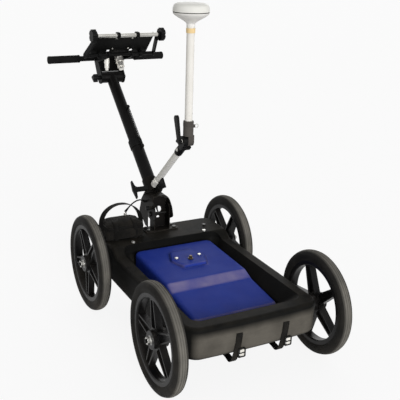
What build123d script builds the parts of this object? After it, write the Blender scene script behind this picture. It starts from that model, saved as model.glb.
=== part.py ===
from build123d import *
import os
from math import atan2, cos, degrees, hypot, pi, radians, sin, tan

# Ground penetrating radar push cart.
# Millimetres, +Z up, the cart's front towards -Y, its right-hand wheels (seen from the front) at +X.
# Lengths named *_ahead or *_back are measured along Y from the middle of the wheelbase.

# Clearances
fit = 0.05               # radial clearance of a running or sliding fit
gap = 0.4                # free space between pieces that move past each other

# Wheels
wheel_d = 400.0
tyre_w = 50.0
tyre_h = 40.0            # bead to tread
tread_w = 36.0
shoulder_drop = 5.0      # how far the tread's edge lies inside its crown
groove_count = 4
groove_w = 2.6
groove_depth = 2.2
rim_w = 38.0
rim_depth = 17.0
hub_d = 66.0
hub_w = 56.0
hub_bore_d = 27.0
spoke_count = 5
spoke_hub_w = 44.0
spoke_rim_w = 27.0
spoke_t = 26.0
spoke_web = 9.0          # wall left between the two grooves of a spoke
spoke_edge = 6.0         # raised edge beside a groove
front_left_turn = 7.0    # how far each wheel has turned, about +X
front_right_turn = 68.5
rear_left_turn = 56.0
rear_right_turn = 44.0

# Axles
wheelbase = 682.0
wheel_gap = 32.0         # tub side to tyre
axle_d = 15.0
axle_shoulder_d = 26.0
axle_plate_w = 84.0
axle_plate_h = 70.0
axle_plate_t = 5.0
bearing_d = 35.0
bearing_w = 11.0
axle_nut_w = 24.0        # across flats
axle_nut_h = 12.0
axle_end = 5.0           # thread showing past the nut
washer_d = 28.0
washer_t = 2.0
encoder_d = 58.0
encoder_t = 13.0
encoder_disc_t = 3.0

# Antenna unit
antenna_w = 350.0
antenna_ahead = 318.0
antenna_back = 234.0
antenna_clear = 107.0    # ground to its skid
antenna_h = 159.0        # skid to rear top edge
antenna_wall = 4.0
antenna_corner_r = 26.0
antenna_edge_r = 14.0
slope_top_ahead = 78.0
slope_top_drop = 9.0
slope_run = 52.0
slope_fall = 20.0
nose_fall = 22.0         # fall of the front panel from the slope to the nose
skid_t = 10.0
skid_screw_pitch = 187.0
pad_half_w = 74.0
pad_nose_half_w = 49.0
pad_half_l = 70.0
pad_back = 87.0
pad_h = 9.0
pad_bolt_x = 51.0
bowtie_l = 130.0
bowtie_w = 240.0
bowtie_t = 1.6
bowtie_feed = 12.0
board_w = 150.0
board_l = 110.0
board_t = 1.6
board_rise = 60.0        # board above the skid
socket_d = 20.0
socket_h = 15.0
socket_tip_d = 14.0

# Tub
tub_clear = 140.0        # ground to its bottom edge
tub_h = 125.0
tub_wall = 5.0
deck_rise = 27.0
deck_l = 170.0
deck_ramp = 45.0
well_gap = 15.0          # antenna side to well wall
well_front_gap = 12.0
well_back_gap = 9.0
well_slope_w = 32.0      # how far each side of the well leans outwards
well_front_slope = 68.0
well_back_slope = 7.0
well_depth = 60.0        # height of the leaning part
well_corner_r = 36.0
side_rim = 48.0
front_rim = 60.0
tub_bow = 9.0            # how far the front bulges
tub_front_r = 62.0
tub_back_r = 48.0
tub_edge_r = 17.0
tub_bottom_r = 24.0

# Antenna slings
sling_x = 95.0           # slings' middle to each sling
sling_aside = 12.0       # tub's middle to the slings' middle, towards +X
sling_w = 25.0
sling_t = 2.0
sling_top = 82.0         # tub bottom edge to the strap's top end on the front wall
sling_tail = 35.0        # the same on the rear wall of the well
sling_bend_r = 12.0
sling_run_in = 24.0      # how far back the strap runs as it drops below the tub
buckle_w = 30.0
buckle_h = 36.0
buckle_aside = 17.0      # strap's middle to the buckle's, towards +X
buckle_rise = 6.0        # tub bottom edge to the buckle's middle
buckle_t = 5.0
buckle_bar = 5.0

# Column hinge
hinge_setback = 122.0    # deck front edge to pivot
hinge_rise = 70.0        # deck to pivot
pin_d = 12.0
pin_head_d = 22.0
pin_head_h = 7.0
bracket_w = 74.0
bracket_wall = 4.0
bracket_h = 115.0
bracket_ahead = 34.0     # pivot to the bracket's front edges
bracket_behind = 12.0    # pivot to the back of its web
foot_w = 150.0
foot_t = 6.0
foot_margin = 8.0
foot_bolt_x = 59.0
web_rise = 70.0          # pivot to the top of the bracket's web
web_corner_r = 22.0
web_hole_d = 30.0
web_hole_rise = 14.0     # above the pivot
web_slot_w = 16.0
web_slot_h = 10.0
web_slot_drop = 19.0
hood_wall = 4.0
hood_rise = 80.0         # pivot to the hood's crown
hood_corner_r = 22.0
hood_crown_back = 54.0
cheek_ahead = 58.0       # pivot to the cheeks' foremost point
cheek_brow_ahead = 45.0  # pivot to the cheeks' rounded front edge, half way up
cheek_brow_rise = 37.0
cheek_top_rise = 72.0
cheek_chin_ahead = 49.0
cheek_chin_drop = 26.0
cheek_step = 17.0        # pivot to the cheeks' lower edge behind the bracket
cheek_hole_d = 44.0      # hand hole in the right cheek
cheek_hole_back = 82.0
cheek_hole_drop = 14.0
heel_l = 22.0
heel_back = 30.0
plunger_d = 8.0
plunger_rise = 34.0
plunger_ahead = 14.0
plunger_knob_d = 18.0
plunger_knob_l = 14.0
plunger_barrel_d = 16.0
plunger_barrel_l = 12.0

# Column
column_lean = 49.7       # from the vertical
column_back = 75.0       # pivot to the column's lower reference point, along Y
column_rise = 90.0       # the same, upwards
column_l = 627.0         # reference point to the head's pivot
lower_d = 56.0
tube_wall = 2.5
lower_top = 228.0
collar_d = 63.0
collar_l = 45.0
foot_plate_at = -20.0
foot_plate_t = 5.0
twist_d = 62.0
twist_l = 40.0
twist_over = 14.0        # how far the twist collar reaches down over the lower tube
twist_ribs = 18
twist_rib_d = 4.0
slide_in = 100.0         # upper tube inside the lower one
cord_d = 12.0
cord_bottom = 207.0
cord_top = 414.0
cord_clip_l = 12.0
cord_turn = 76.0         # cord's place round the column, from +X towards its upper side

# Cable cleat on the column's collar
cleat_over = 13.0        # above the column's axis
cleat_l = 86.0
cleat_out = 92.0
cleat_bar = 11.0
cleat_t = 12.0
cleat_neck_w = 19.0
cleat_throat_r = 14.0

# Antenna mast arm and elbow
arm_rise = 41.97         # above the horizontal
arm_d = 28.0
arm_wall = 2.0
arm_start = 36.0
arm_l = 437.6            # reference point to the elbow's pivot
arm_short = 39.6         # arm's end to the elbow's pivot
sleeve_d = 33.0
sleeve_end = 84.0
gusset_t = 8.0
gusset_end = 133.0
gusset_depth = 59.0
gusset_heel = 37.0
elbow_sleeve_d = 34.0
elbow_sleeve_l = 58.0
clevis_w = 42.0
elbow_r = 21.0
lap_x = 3.0              # elbow's middle plane to the face where its two halves meet
elbow_pin_d = 8.0
pole_ahead = 10.0        # elbow pivot to the pole's axis
pole_d = 30.0
pole_wall = 2.0
pole_seat = 33.0         # elbow pivot to the pole's foot
pole_top = 432.0
socket_bottom = 23.0
socket_top = 82.0
cup_d = 40.0
lever_l = 98.0
lever_w = 26.0
lever_t = 11.0
lever_back = 25.0        # how far its tip leans back
lever_barrel_d = 16.0
pull_rise = 59.0
pull_d = 6.0
pull_barrel_d = 13.0
pull_barrel_l = 6.0
pull_ring_d = 17.0
pull_ring_t = 2.4
collar_ring_d = 34.0
collar_ring_l = 17.0
collar_ring_drop = 4.0   # below the receiver's neck
dome_d = 136.0
dome_h = 32.4
dome_shoulder = 0.92      # how square the dome's profile is, 0 to 1
seam_t = 3.0
bowl_h = 52.0
bowl_neck_d = 32.0
bowl_brim_fall = 14.0    # how far the bowl's brim stays steep
bowl_brim_in = 2.0
bowl_throat_d = 52.0
bowl_throat_drop = 26.0
bowl_stem_h = 12.0
board_floor = 35.0       # neck's foot to the receiver's inside floor
board_floor_d = 88.0
shell_wall = 3.0
receiver_board_d = 96.0

# Head, handlebar and display tray
knuckle_d = 52.0
head_inside = 104.0      # between the fork's ears
ear_t = 6.0
ear_r = 29.0
yoke_web_near = 30.0     # head pivot to the web between the ears
yoke_web_t = 5.0
bar_back = 55.5          # head pivot to handlebar
bar_rise = 83.0
bar_boss_r = 22.0
bar_d = 25.0
bar_half_l = 287.0
grip_d = 36.0
grip_l = 150.0
grip_end = 4.0
rail_ahead = 109.0       # head pivot to the tray's lower rail
rail_rise = 122.0
rail_d = 16.0
rail_boss_r = 15.0
rail_pad_w = 12.0
rail_pad_x = 100.0
tray_slope = 44.0        # below the horizontal, towards the handlebar
tray_arm_l = 139.0       # lower rail to silver bar
tray_arm_t = 8.0
tray_arm_w = 24.0
tray_arm_bend = 34.0     # silver bar to where the arms bend outwards
tray_splay = 20.0
silver_d = 18.0
tray_inside = 284.0      # between the tray's arms
plate_side_gap = 6.0
plate_t = 3.0
plate_top = 20.0         # silver bar to the plate's upper edge
plate_past = 25.0        # lower rail to the plate's lower edge
ledge_h = 14.0
sleeve_x = 45.0
sleeve_w = 14.0
sleeve_wall = 4.0
display_pitch = 75.0     # square of display screws
display_hole_d = 4.5
bridge_w = 46.0
bridge_t = 8.0
bridge_at = 0.56         # place along the ear's upper limb
plug_x = 36.0
plug_d = 25.0
plug_l = 66.0
big_plug_x = 20.0
big_plug_d = 40.0
big_plug_l = 72.0
big_plug_tilt = 38.0
plug_waist = 0.84        # widths of a plug's two steps, as shares of its own
plug_tail = 0.6
stud_d = 10.0
tilt_knob_d = 42.0
tilt_knob_l = 20.0
tilt_neck_d = 20.0
tilt_neck_l = 14.0
tray_knob_d = 58.0
tray_knob_l = 20.0
knob_lobes = 6

# Battery bag
bag_side_gap = 4.0       # tub side to the bag's outer end
bag_w = 172.0
bag_l = 115.0
bag_h = 78.0
bag_wall = 4.0
bag_edge_r = 20.0
bag_from_back = 3.0      # bag to the deck's rear edge
battery_gap = 6.0
handle_w = 24.0
handle_t = 3.0
handle_rise = 62.0       # bag top to the carrying strap's crown
handle_root = 24.0       # how far its ends reach down the bag
handle_r = 62.0

# Power lead, from the bag to the hood's left cheek
lead_d = 6.0
lead_runs = 5
lead_ease = 0.05         # draws the route's points together towards its ends
lead_arch = 30.0
lead_bend = 0.45         # share of the shorter run that a bend uses
lead_plug_d = 13.0
lead_plug_h = 14.0
lead_plug_in = 58.0      # bag's inner end to the plug
lead_plug_back = 36.0    # deck's rear edge to the plug
lead_gland_back = 49.0   # pivot to the lead's end on the cheek
lead_gland_rise = 42.0

# Fasteners
bolt_d = 8.0
bolt_head_d = 15.0
bolt_head_h = 5.0
bolt_grip = 16.0
small_bolt_d = 5.0
small_head_d = 9.0
small_head_h = 3.0
deck_bolt_x = 165.0
deck_bolt_back = 14.0
side_bolt_x = 197.0
side_bolt_back = 75.0

# Derived heights and places
wheel_r = wheel_d / 2
axle_z = wheel_r
bead_r = wheel_r - tyre_h
rim_r = bead_r - rim_depth
tub_w = antenna_w + 2 * (well_gap + well_slope_w + side_rim)
track = tub_w + 2 * wheel_gap + tyre_w
tub_ahead = antenna_ahead + well_front_gap + well_front_slope + front_rim
deck_edge_back = antenna_back + well_back_gap + well_back_slope
tub_back = deck_edge_back + deck_l
pivot_back = deck_edge_back + hinge_setback
lean = radians(column_lean)
rise = radians(arm_rise)
slope = radians(tray_slope)
head_back = pivot_back + column_back + column_l * sin(lean)
handlebar_back = head_back + bar_back

# The origin is under the middle of the whole cart
front_reach = wheelbase / 2 + wheel_r
rear_reach = handlebar_back + grip_d / 2
mid_y = (front_reach - rear_reach) / 2

tub_front_y = mid_y - tub_ahead
tub_back_y = mid_y + tub_back
deck_edge_y = mid_y + deck_edge_back
antenna_front_y = mid_y - antenna_ahead
antenna_back_y = mid_y + antenna_back
rim_z = tub_clear + tub_h
deck_z = rim_z + deck_rise
pivot_y = mid_y + pivot_back
pivot_z = deck_z + hinge_rise
base_y = pivot_y + column_back
base_z = pivot_z + column_rise
head_y = mid_y + head_back
head_z = base_z + column_l * cos(lean)
handlebar_y = mid_y + handlebar_back
handlebar_z = head_z + bar_rise
rail_y = head_y - rail_ahead
rail_z = head_z + rail_rise
silver_y = rail_y - tray_arm_l * cos(slope)
silver_z = rail_z + tray_arm_l * sin(slope)
arm_end = arm_l - arm_short
elbow_y = base_y - arm_l * cos(rise)
elbow_z = base_z + arm_l * sin(rise)
pole_y = elbow_y - pole_ahead
axle_ys = (mid_y - wheelbase / 2, mid_y + wheelbase / 2)

# Planes along the column, the arm and the tray
up_column = (0, sin(lean), cos(lean))
column = Plane(origin=(0, base_y, base_z), x_dir=(1, 0, 0), z_dir=up_column)
column_side = Plane(origin=(0, base_y, base_z), x_dir=up_column, z_dir=(1, 0, 0))
up_arm = (0, -cos(rise), sin(rise))
arm = Plane(origin=(0, base_y, base_z), x_dir=(1, 0, 0), z_dir=up_arm)
arm_side = Plane(origin=(0, base_y, base_z), x_dir=up_arm, z_dir=(-1, 0, 0))
down_tray = (0, cos(slope), -sin(slope))
tray_side = Plane(origin=(0, silver_y, silver_z), x_dir=down_tray, z_dir=(1, 0, 0))
over_tray = (0, sin(slope), cos(slope))
tray_face = Plane(origin=(0, silver_y, silver_z), x_dir=(1, 0, 0), z_dir=over_tray)

os.makedirs("parts", exist_ok=True)


def save(piece, name):
    """Label a finished piece and write it as its own STEP file."""
    piece.label = name
    export_step(piece, f"parts/{name}.step")


# Wheels: one tyre and one rim, turned and placed four times
with BuildPart() as tyre:
    with BuildSketch(Plane.XZ):
        with BuildLine():
            crown = ThreePointArc(
                (-tread_w / 2, wheel_r - shoulder_drop), (0, wheel_r), (tread_w / 2, wheel_r - shoulder_drop)
            )
            right = ThreePointArc(crown @ 1, (tyre_w / 2, bead_r + tyre_h / 2), (rim_w / 2, bead_r))
            bead = Line(right @ 1, (-rim_w / 2, bead_r))
            ThreePointArc(bead @ 1, (-tyre_w / 2, bead_r + tyre_h / 2), crown @ 0)
        make_face()
    revolve(axis=Axis.X)
    groove_pitch = tread_w / groove_count
    with BuildSketch(Plane.XZ):
        for i in range(groove_count):
            groove_x = (i + 0.5 - groove_count / 2) * groove_pitch
            crown_drop = shoulder_drop * (2 * groove_x / tread_w) ** 2
            with Locations((groove_x, wheel_r - crown_drop)):
                Rectangle(groove_w, 2 * groove_depth)
    revolve(axis=Axis.X, mode=Mode.SUBTRACT)

with BuildPart() as rim:
    with BuildSketch(Plane.XZ):
        with Locations((0, bead_r - rim_depth / 2)):
            felloe = Rectangle(rim_w, rim_depth)
        fillet(felloe.vertices().group_by(Axis.Y)[0], rim_depth / 3)
        with Locations((0, hub_d / 4)):
            Rectangle(hub_w, hub_d / 2)
    revolve(axis=Axis.X)
    with BuildSketch(Plane.YZ):
        with PolarLocations(0, spoke_count):
            Polygon(
                (hub_d / 3, -spoke_hub_w / 2),
                (rim_r + rim_depth / 3, -spoke_rim_w / 2),
                (rim_r + rim_depth / 3, spoke_rim_w / 2),
                (hub_d / 3, spoke_hub_w / 2),
                align=None,
            )
    extrude(amount=spoke_t / 2, both=True)
    for side in (1, -1):
        with BuildSketch(Plane.YZ.offset(side * spoke_t / 2)) as grooves:
            with PolarLocations(0, spoke_count):
                Polygon(
                    (hub_d / 2 + spoke_edge, -spoke_hub_w / 2 + spoke_edge),
                    (rim_r - spoke_edge, -spoke_rim_w / 2 + spoke_edge),
                    (rim_r - spoke_edge, spoke_rim_w / 2 - spoke_edge),
                    (hub_d / 2 + spoke_edge, spoke_hub_w / 2 - spoke_edge),
                    align=None,
                )
            fillet(grooves.vertices(), spoke_edge / 2)
        extrude(amount=-side * (spoke_t - spoke_web) / 2, mode=Mode.SUBTRACT)
    with BuildSketch(Plane.YZ.offset(-hub_w)):
        Circle(hub_bore_d / 2)
    extrude(amount=2 * hub_w, mode=Mode.SUBTRACT)
    for side in (1, -1):
        with BuildSketch(Plane.YZ.offset(side * hub_w / 2)):
            Circle(bearing_d / 2 + fit)
        extrude(amount=-side * bearing_w, mode=Mode.SUBTRACT)

wheel_places = {
    "fl": (-track / 2, axle_ys[0], front_left_turn),
    "fr": (track / 2, axle_ys[0], front_right_turn),
    "rl": (-track / 2, axle_ys[1], rear_left_turn),
    "rr": (track / 2, axle_ys[1], rear_right_turn),
}
for corner, (wheel_x, wheel_y, turn) in wheel_places.items():
    place = Pos(wheel_x, wheel_y, axle_z) * Rot(turn, 0, 0)
    save(place * tyre.part, f"tyre_{corner}")
    save(place * rim.part, f"rim_{corner}")

# Axles, bearings and nuts at the four corners
tub_side = tub_w / 2
hub_inner = track / 2 - hub_w / 2
hub_outer = track / 2 + hub_w / 2
nut_face = hub_outer + washer_t
with BuildPart() as axle_stubs:
    for side in (1, -1):
        with BuildSketch(Plane.YZ.offset(side * tub_side)):
            with Locations(*((y, axle_z) for y in axle_ys)):
                RectangleRounded(axle_plate_w, axle_plate_h, axle_plate_h / 8)
        extrude(amount=side * axle_plate_t)
        with BuildSketch(Plane.YZ.offset(side * tub_side)):
            with Locations(*((y, axle_z) for y in axle_ys)):
                Circle(axle_shoulder_d / 2)
        extrude(amount=side * (hub_inner - tub_side))
        with BuildSketch(Plane.YZ.offset(side * tub_side)):
            with Locations(*((y, axle_z) for y in axle_ys)):
                Circle(axle_d / 2)
        extrude(amount=side * (nut_face + axle_nut_h + axle_end - tub_side))
    plate_bolts = [
        (y + dy, axle_z + dz)
        for y in axle_ys
        for dy in (-axle_plate_w / 3, axle_plate_w / 3)
        for dz in (-axle_plate_h / 3, axle_plate_h / 3)
    ]
    for side in (1, -1):
        with BuildSketch(Plane.YZ.offset(side * tub_side)):
            with Locations(*plate_bolts):
                Circle(small_bolt_d / 2 + fit)
        extrude(amount=side * axle_plate_t, mode=Mode.SUBTRACT)
save(axle_stubs.part, "axle_stubs")

with BuildPart() as wheel_bearings:
    for side in (1, -1):
        for face, inward in ((hub_inner, 1), (hub_outer, -1)):
            with BuildSketch(Plane.YZ.offset(side * face)):
                with Locations(*((y, axle_z) for y in axle_ys)):
                    Circle(bearing_d / 2)
                    Circle(axle_d / 2 + fit, mode=Mode.SUBTRACT)
            extrude(amount=side * inward * bearing_w)
save(wheel_bearings.part, "wheel_bearings")

with BuildPart() as axle_nuts:
    for side in (1, -1):
        with BuildSketch(Plane.YZ.offset(side * hub_outer)):
            with Locations(*((y, axle_z) for y in axle_ys)):
                Circle(washer_d / 2)
                Circle(axle_d / 2 + fit, mode=Mode.SUBTRACT)
        extrude(amount=side * washer_t)
        with BuildSketch(Plane.YZ.offset(side * nut_face)):
            with Locations(*((y, axle_z) for y in axle_ys)):
                RegularPolygon(axle_nut_w / 2, 6, major_radius=False)
                Circle(axle_d / 2 + fit, mode=Mode.SUBTRACT)
        extrude(amount=side * axle_nut_h)
save(axle_nuts.part, "axle_nuts")

# Distance encoder on the rear right wheel
encoder_x = tub_side + axle_plate_t
with BuildPart() as encoder_housing:
    with BuildSketch(Plane.YZ.offset(encoder_x)):
        with Locations((axle_ys[1], axle_z)):
            Circle(encoder_d / 2)
        with Locations((axle_ys[1], axle_z + encoder_d / 2)):
            Rectangle(encoder_d / 2, encoder_d / 3)
        with Locations((axle_ys[1], axle_z)):
            Circle(axle_shoulder_d / 2 + fit, mode=Mode.SUBTRACT)
    extrude(amount=encoder_t)
    fillet(encoder_housing.faces().sort_by(Axis.X)[-1].outer_wire().edges(), encoder_t / 6)
save(encoder_housing.part, "encoder_housing")

with BuildPart() as encoder_disc:
    with BuildSketch(Plane.YZ.offset(hub_inner)):
        with Locations((axle_ys[1], axle_z)):
            Circle(encoder_d / 2)
            Circle(bearing_d / 2 + gap, mode=Mode.SUBTRACT)
    extrude(amount=-encoder_disc_t)
save(encoder_disc.part, "encoder_disc")

# Tub: a moulded tray, open below, with a well for the antenna and a raised rear deck
bracket_front_y = pivot_y - bracket_ahead
bracket_back_y = pivot_y + bracket_behind
foot_front_y = bracket_front_y - foot_margin
foot_back_y = bracket_back_y + foot_margin
foot_bolts = [
    (side * foot_bolt_x, y)
    for side in (1, -1)
    for y in (foot_front_y + bolt_head_d, foot_back_y - bolt_head_d)
]
deck_bolts = [
    (-deck_bolt_x, deck_edge_y + deck_bolt_back),
    (deck_bolt_x, deck_edge_y + deck_bolt_back),
    (side_bolt_x, deck_edge_y + side_bolt_back),
]
well_half_w = antenna_w / 2 + well_gap
well_front_y = antenna_front_y - well_front_gap
well_back_y = antenna_back_y + well_back_gap


def tub_plan(inset):
    """Plan of the tub, drawn inside its outline by inset."""
    half = tub_w / 2 - inset
    front = tub_front_y + inset
    back = tub_back_y - inset
    with BuildSketch() as plan:
        with BuildLine():
            sides = Polyline((-half, front + tub_bow), (-half, back), (half, back), (half, front + tub_bow))
            ThreePointArc(sides @ 1, (0, front), sides @ 0)
        make_face()
        fillet(plan.vertices().group_by(Axis.Y)[0], tub_front_r - inset)
        fillet(plan.vertices().group_by(Axis.Y)[-1], tub_back_r - inset)
    return plan.sketch


def tub_body(inset):
    """The tub as a solid block with its ramped deck and round bottom edge, drawn inside its outline by inset."""
    with BuildPart() as body:
        with BuildSketch(Plane.XY.offset(tub_clear)):
            add(tub_plan(inset))
        extrude(amount=tub_h + deck_rise)
        with BuildSketch(Plane.YZ) as profile:
            Polygon(
                (tub_front_y - tub_w, tub_clear + inset),
                (tub_front_y - tub_w, rim_z - inset),
                (deck_edge_y - deck_ramp, rim_z - inset),
                (deck_edge_y, deck_z - inset),
                (tub_back_y + tub_w, deck_z - inset),
                (tub_back_y + tub_w, tub_clear + inset),
                align=None,
            )
            ramp_ends = profile.vertices().sort_by_distance((0, deck_edge_y - deck_ramp / 2, rim_z))[0:2]
            fillet(ramp_ends, deck_ramp / 2)
        extrude(amount=tub_w, both=True, mode=Mode.INTERSECT)
        fillet(body.faces().sort_by(Axis.Z)[0].edges(), tub_bottom_r - inset)
    return body.part


def well_block(grow):
    """The well as a solid, grown sideways by grow."""
    plan_low = (2 * (well_half_w + grow), well_back_y - well_front_y + 2 * grow)
    low_y = (well_back_y + well_front_y) / 2
    plan_high = (plan_low[0] + 2 * well_slope_w, plan_low[1] + well_front_slope + well_back_slope)
    high_y = low_y + (well_back_slope - well_front_slope) / 2
    with BuildPart() as block:
        with BuildSketch(Plane.XY.offset(rim_z - well_depth)):
            with Locations((0, low_y)):
                RectangleRounded(*plan_low, well_corner_r)
        with BuildSketch(Plane.XY.offset(rim_z)):
            with Locations((0, high_y)):
                RectangleRounded(*plan_high, well_corner_r)
        loft()
        with BuildSketch(Plane.XY.offset(rim_z)):
            with Locations((0, high_y)):
                RectangleRounded(*plan_high, well_corner_r)
        extrude(amount=deck_rise + tub_h)
        with BuildSketch(Plane.XY.offset(rim_z - well_depth)):
            with Locations((0, low_y)):
                RectangleRounded(*plan_low, well_corner_r)
        extrude(amount=-tub_h)
    return block.part


with BuildPart() as tub_hollow:
    add(tub_body(tub_wall))
    with BuildSketch(Plane.XY.offset(tub_clear)):
        add(tub_plan(tub_bottom_r + tub_wall))
    extrude(amount=2 * tub_wall)
    add(well_block(tub_wall), mode=Mode.SUBTRACT)

with BuildPart() as tub:
    add(tub_body(0))
    brow = [e for e in tub.edges() if e.center().Z > rim_z - gap]
    ends = (tub_front_y + front_rim, tub_back_y - front_rim)
    across = [e for e in brow if abs(e.center().X) < tub_w / 4 and ends[0] < e.center().Y < ends[1]]
    fillet([e for e in brow if e not in across], tub_edge_r)
    add(tub_hollow.part, mode=Mode.SUBTRACT)
    add(well_block(0), mode=Mode.SUBTRACT)
    with BuildSketch(Plane.XY.offset(deck_z)):
        with Locations(*deck_bolts, *foot_bolts):
            Circle(bolt_d / 2 + fit)
    extrude(amount=-2 * tub_wall, mode=Mode.SUBTRACT)
    for side in (1, -1):
        with BuildSketch(Plane.YZ.offset(side * tub_side)):
            with Locations(*plate_bolts):
                Circle(small_bolt_d / 2 + fit)
        extrude(amount=-side * 2 * tub_wall, mode=Mode.SUBTRACT)
save(tub.part, "tub")

# Antenna unit: blue cover over a skid, with the aerials and the board inside
antenna_top_z = antenna_clear + antenna_h
cover_foot_z = antenna_clear + skid_t


def antenna_form(inset):
    """The antenna's outer form, drawn inside its outline by inset."""
    front = antenna_front_y + inset
    back = antenna_back_y - inset
    top = antenna_top_z - inset
    slope_y = mid_y - slope_top_ahead
    slope_z = top - slope_top_drop
    nose_z = slope_z - slope_fall - nose_fall
    with BuildPart() as form:
        with BuildSketch(Plane.XY.offset(cover_foot_z)):
            with Locations((0, (front + back) / 2)):
                RectangleRounded(antenna_w - 2 * inset, back - front, antenna_corner_r - inset)
        extrude(amount=antenna_h)
        with BuildSketch(Plane.YZ) as profile:
            Polygon(
                (back + antenna_w, cover_foot_z),
                (back + antenna_w, top),
                (back, top),
                (slope_y, slope_z),
                (slope_y - slope_run, slope_z - slope_fall),
                (front, nose_z),
                (front - antenna_w, nose_z),
                (front - antenna_w, cover_foot_z),
                align=None,
            )
            fillet(profile.vertices().sort_by(Axis.Y)[4:6], slope_run / 2)
        extrude(amount=antenna_w, both=True, mode=Mode.INTERSECT)
        brow = [e for e in form.edges() if e.center().Z > nose_z - inset - gap]
        inner = [e for e in brow if front + gap < e.center().Y < back - gap]
        across = [e for e in inner if e.bounding_box().size.X > antenna_w / 2]
        fillet([e for e in brow if e not in across], antenna_edge_r - inset)
    return form.part


pad_y = mid_y + pad_back
pad_z = antenna_top_z - slope_top_drop * (antenna_back - pad_back) / (antenna_back + slope_top_ahead)
pad_top_z = pad_z + pad_h
pad_bolts = [(-pad_bolt_x, pad_y), (pad_bolt_x, pad_y)]
skid_y = mid_y + (antenna_back - antenna_ahead) / 2
skid_screws = [skid_y - skid_screw_pitch, skid_y, skid_y + skid_screw_pitch]
screw_z = cover_foot_z + small_head_d
with BuildPart() as antenna_cover:
    add(antenna_form(0))
    with BuildSketch(Plane.XY.offset(pad_z - antenna_edge_r)) as pad:
        with Locations((0, pad_y)):
            Polygon(
                (-pad_half_w, 0),
                (-pad_nose_half_w, -pad_half_l),
                (pad_nose_half_w, -pad_half_l),
                (pad_half_w, 0),
                (pad_nose_half_w, pad_half_l),
                (-pad_nose_half_w, pad_half_l),
                align=None,
            )
        fillet(pad.vertices(), pad_h)
    extrude(amount=antenna_edge_r + pad_h)
    fillet(antenna_cover.faces().sort_by(Axis.Z)[-1].edges(), pad_h / 3)
    add(antenna_form(antenna_wall), mode=Mode.SUBTRACT)
    with BuildSketch(Plane.XY.offset(pad_top_z)):
        with Locations(*pad_bolts):
            Circle(bolt_d / 2 + fit)
        with Locations((0, pad_y - pad_half_l / 3)):
            Circle(socket_d / 4 + fit)
    extrude(amount=-antenna_h / 3, mode=Mode.SUBTRACT)
    with BuildSketch(Plane.YZ):
        with Locations(*((y, screw_z) for y in skid_screws)):
            Circle(small_bolt_d / 2 + fit)
    extrude(amount=antenna_w, both=True, mode=Mode.SUBTRACT)
save(antenna_cover.part, "antenna_cover")

skid_w = antenna_w - 2 * antenna_wall
skid_l = antenna_back + antenna_ahead - 2 * antenna_wall
with BuildPart() as antenna_base:
    with BuildSketch(Plane.XY.offset(antenna_clear)):
        with Locations((0, skid_y)):
            RectangleRounded(skid_w + 2 * antenna_wall, skid_l + 2 * antenna_wall, antenna_corner_r)
    extrude(amount=skid_t)
    chamfer(antenna_base.faces().sort_by(Axis.Z)[0].edges(), skid_t / 3)
    with BuildSketch(Plane.XY.offset(cover_foot_z)):
        with Locations((0, skid_y)):
            RectangleRounded(skid_w - 2 * fit, skid_l - 2 * fit, antenna_corner_r - antenna_wall)
            RectangleRounded(
                skid_w - 4 * antenna_wall, skid_l - 4 * antenna_wall, antenna_corner_r - 2 * antenna_wall,
                mode=Mode.SUBTRACT,
            )
    extrude(amount=2 * small_head_d)
    with BuildSketch(Plane.YZ):
        with Locations(*((y, screw_z) for y in skid_screws)):
            Circle(small_bolt_d / 2 + fit)
    extrude(amount=antenna_w, both=True, mode=Mode.SUBTRACT)
save(antenna_base.part, "antenna_base")

bowtie_ys = (skid_y - skid_l / 4, skid_y + skid_l / 4)
with BuildPart() as antenna_bowties:
    for bowtie_y in bowtie_ys:
        for side in (1, -1):
            with BuildSketch(Plane.XY.offset(cover_foot_z)):
                Polygon(
                    (side * bowtie_feed / 2, bowtie_y - bowtie_feed / 2),
                    (side * bowtie_w / 2, bowtie_y - bowtie_l / 2),
                    (side * bowtie_w / 2, bowtie_y + bowtie_l / 2),
                    (side * bowtie_feed / 2, bowtie_y + bowtie_feed / 2),
                    align=None,
                )
            extrude(amount=bowtie_t)
save(antenna_bowties.part, "antenna_bowties")

board_z = cover_foot_z + board_rise
with BuildPart() as antenna_board:
    with BuildSketch(Plane.XY.offset(board_z)):
        with Locations((0, skid_y)):
            Rectangle(board_w, board_l)
    extrude(amount=board_t)
    with BuildSketch(Plane.XY.offset(board_z + board_t)):
        with Locations((0, skid_y)):
            Rectangle(board_w / 2, board_l / 2)
    extrude(amount=board_t * 6)
    with BuildSketch(Plane.XY.offset(cover_foot_z)):
        with Locations((0, skid_y)):
            with GridLocations(board_w - 2 * small_head_d, board_l - 2 * small_head_d, 2, 2):
                Circle(small_head_d / 2)
    extrude(amount=board_rise)
save(antenna_board.part, "antenna_board")

socket_y = pad_y - pad_half_l / 3
with BuildPart() as antenna_connector:
    with BuildSketch(Plane.XY.offset(pad_top_z)):
        with Locations((0, socket_y)):
            Circle(socket_d / 2)
    extrude(amount=socket_h / 3)
    with BuildSketch(Plane.XY.offset(pad_top_z + socket_h / 3)):
        with Locations((0, socket_y)):
            Circle(socket_tip_d / 2)
    extrude(amount=socket_h * 2 / 3)
    fillet(antenna_connector.faces().sort_by(Axis.Z)[-1].edges(), socket_h / 8)
    with BuildSketch(Plane.XY.offset(pad_top_z)):
        with Locations((0, socket_y)):
            Circle(socket_d / 4)
    extrude(amount=-pad_h - antenna_wall)
save(antenna_connector.part, "antenna_connector")

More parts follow.
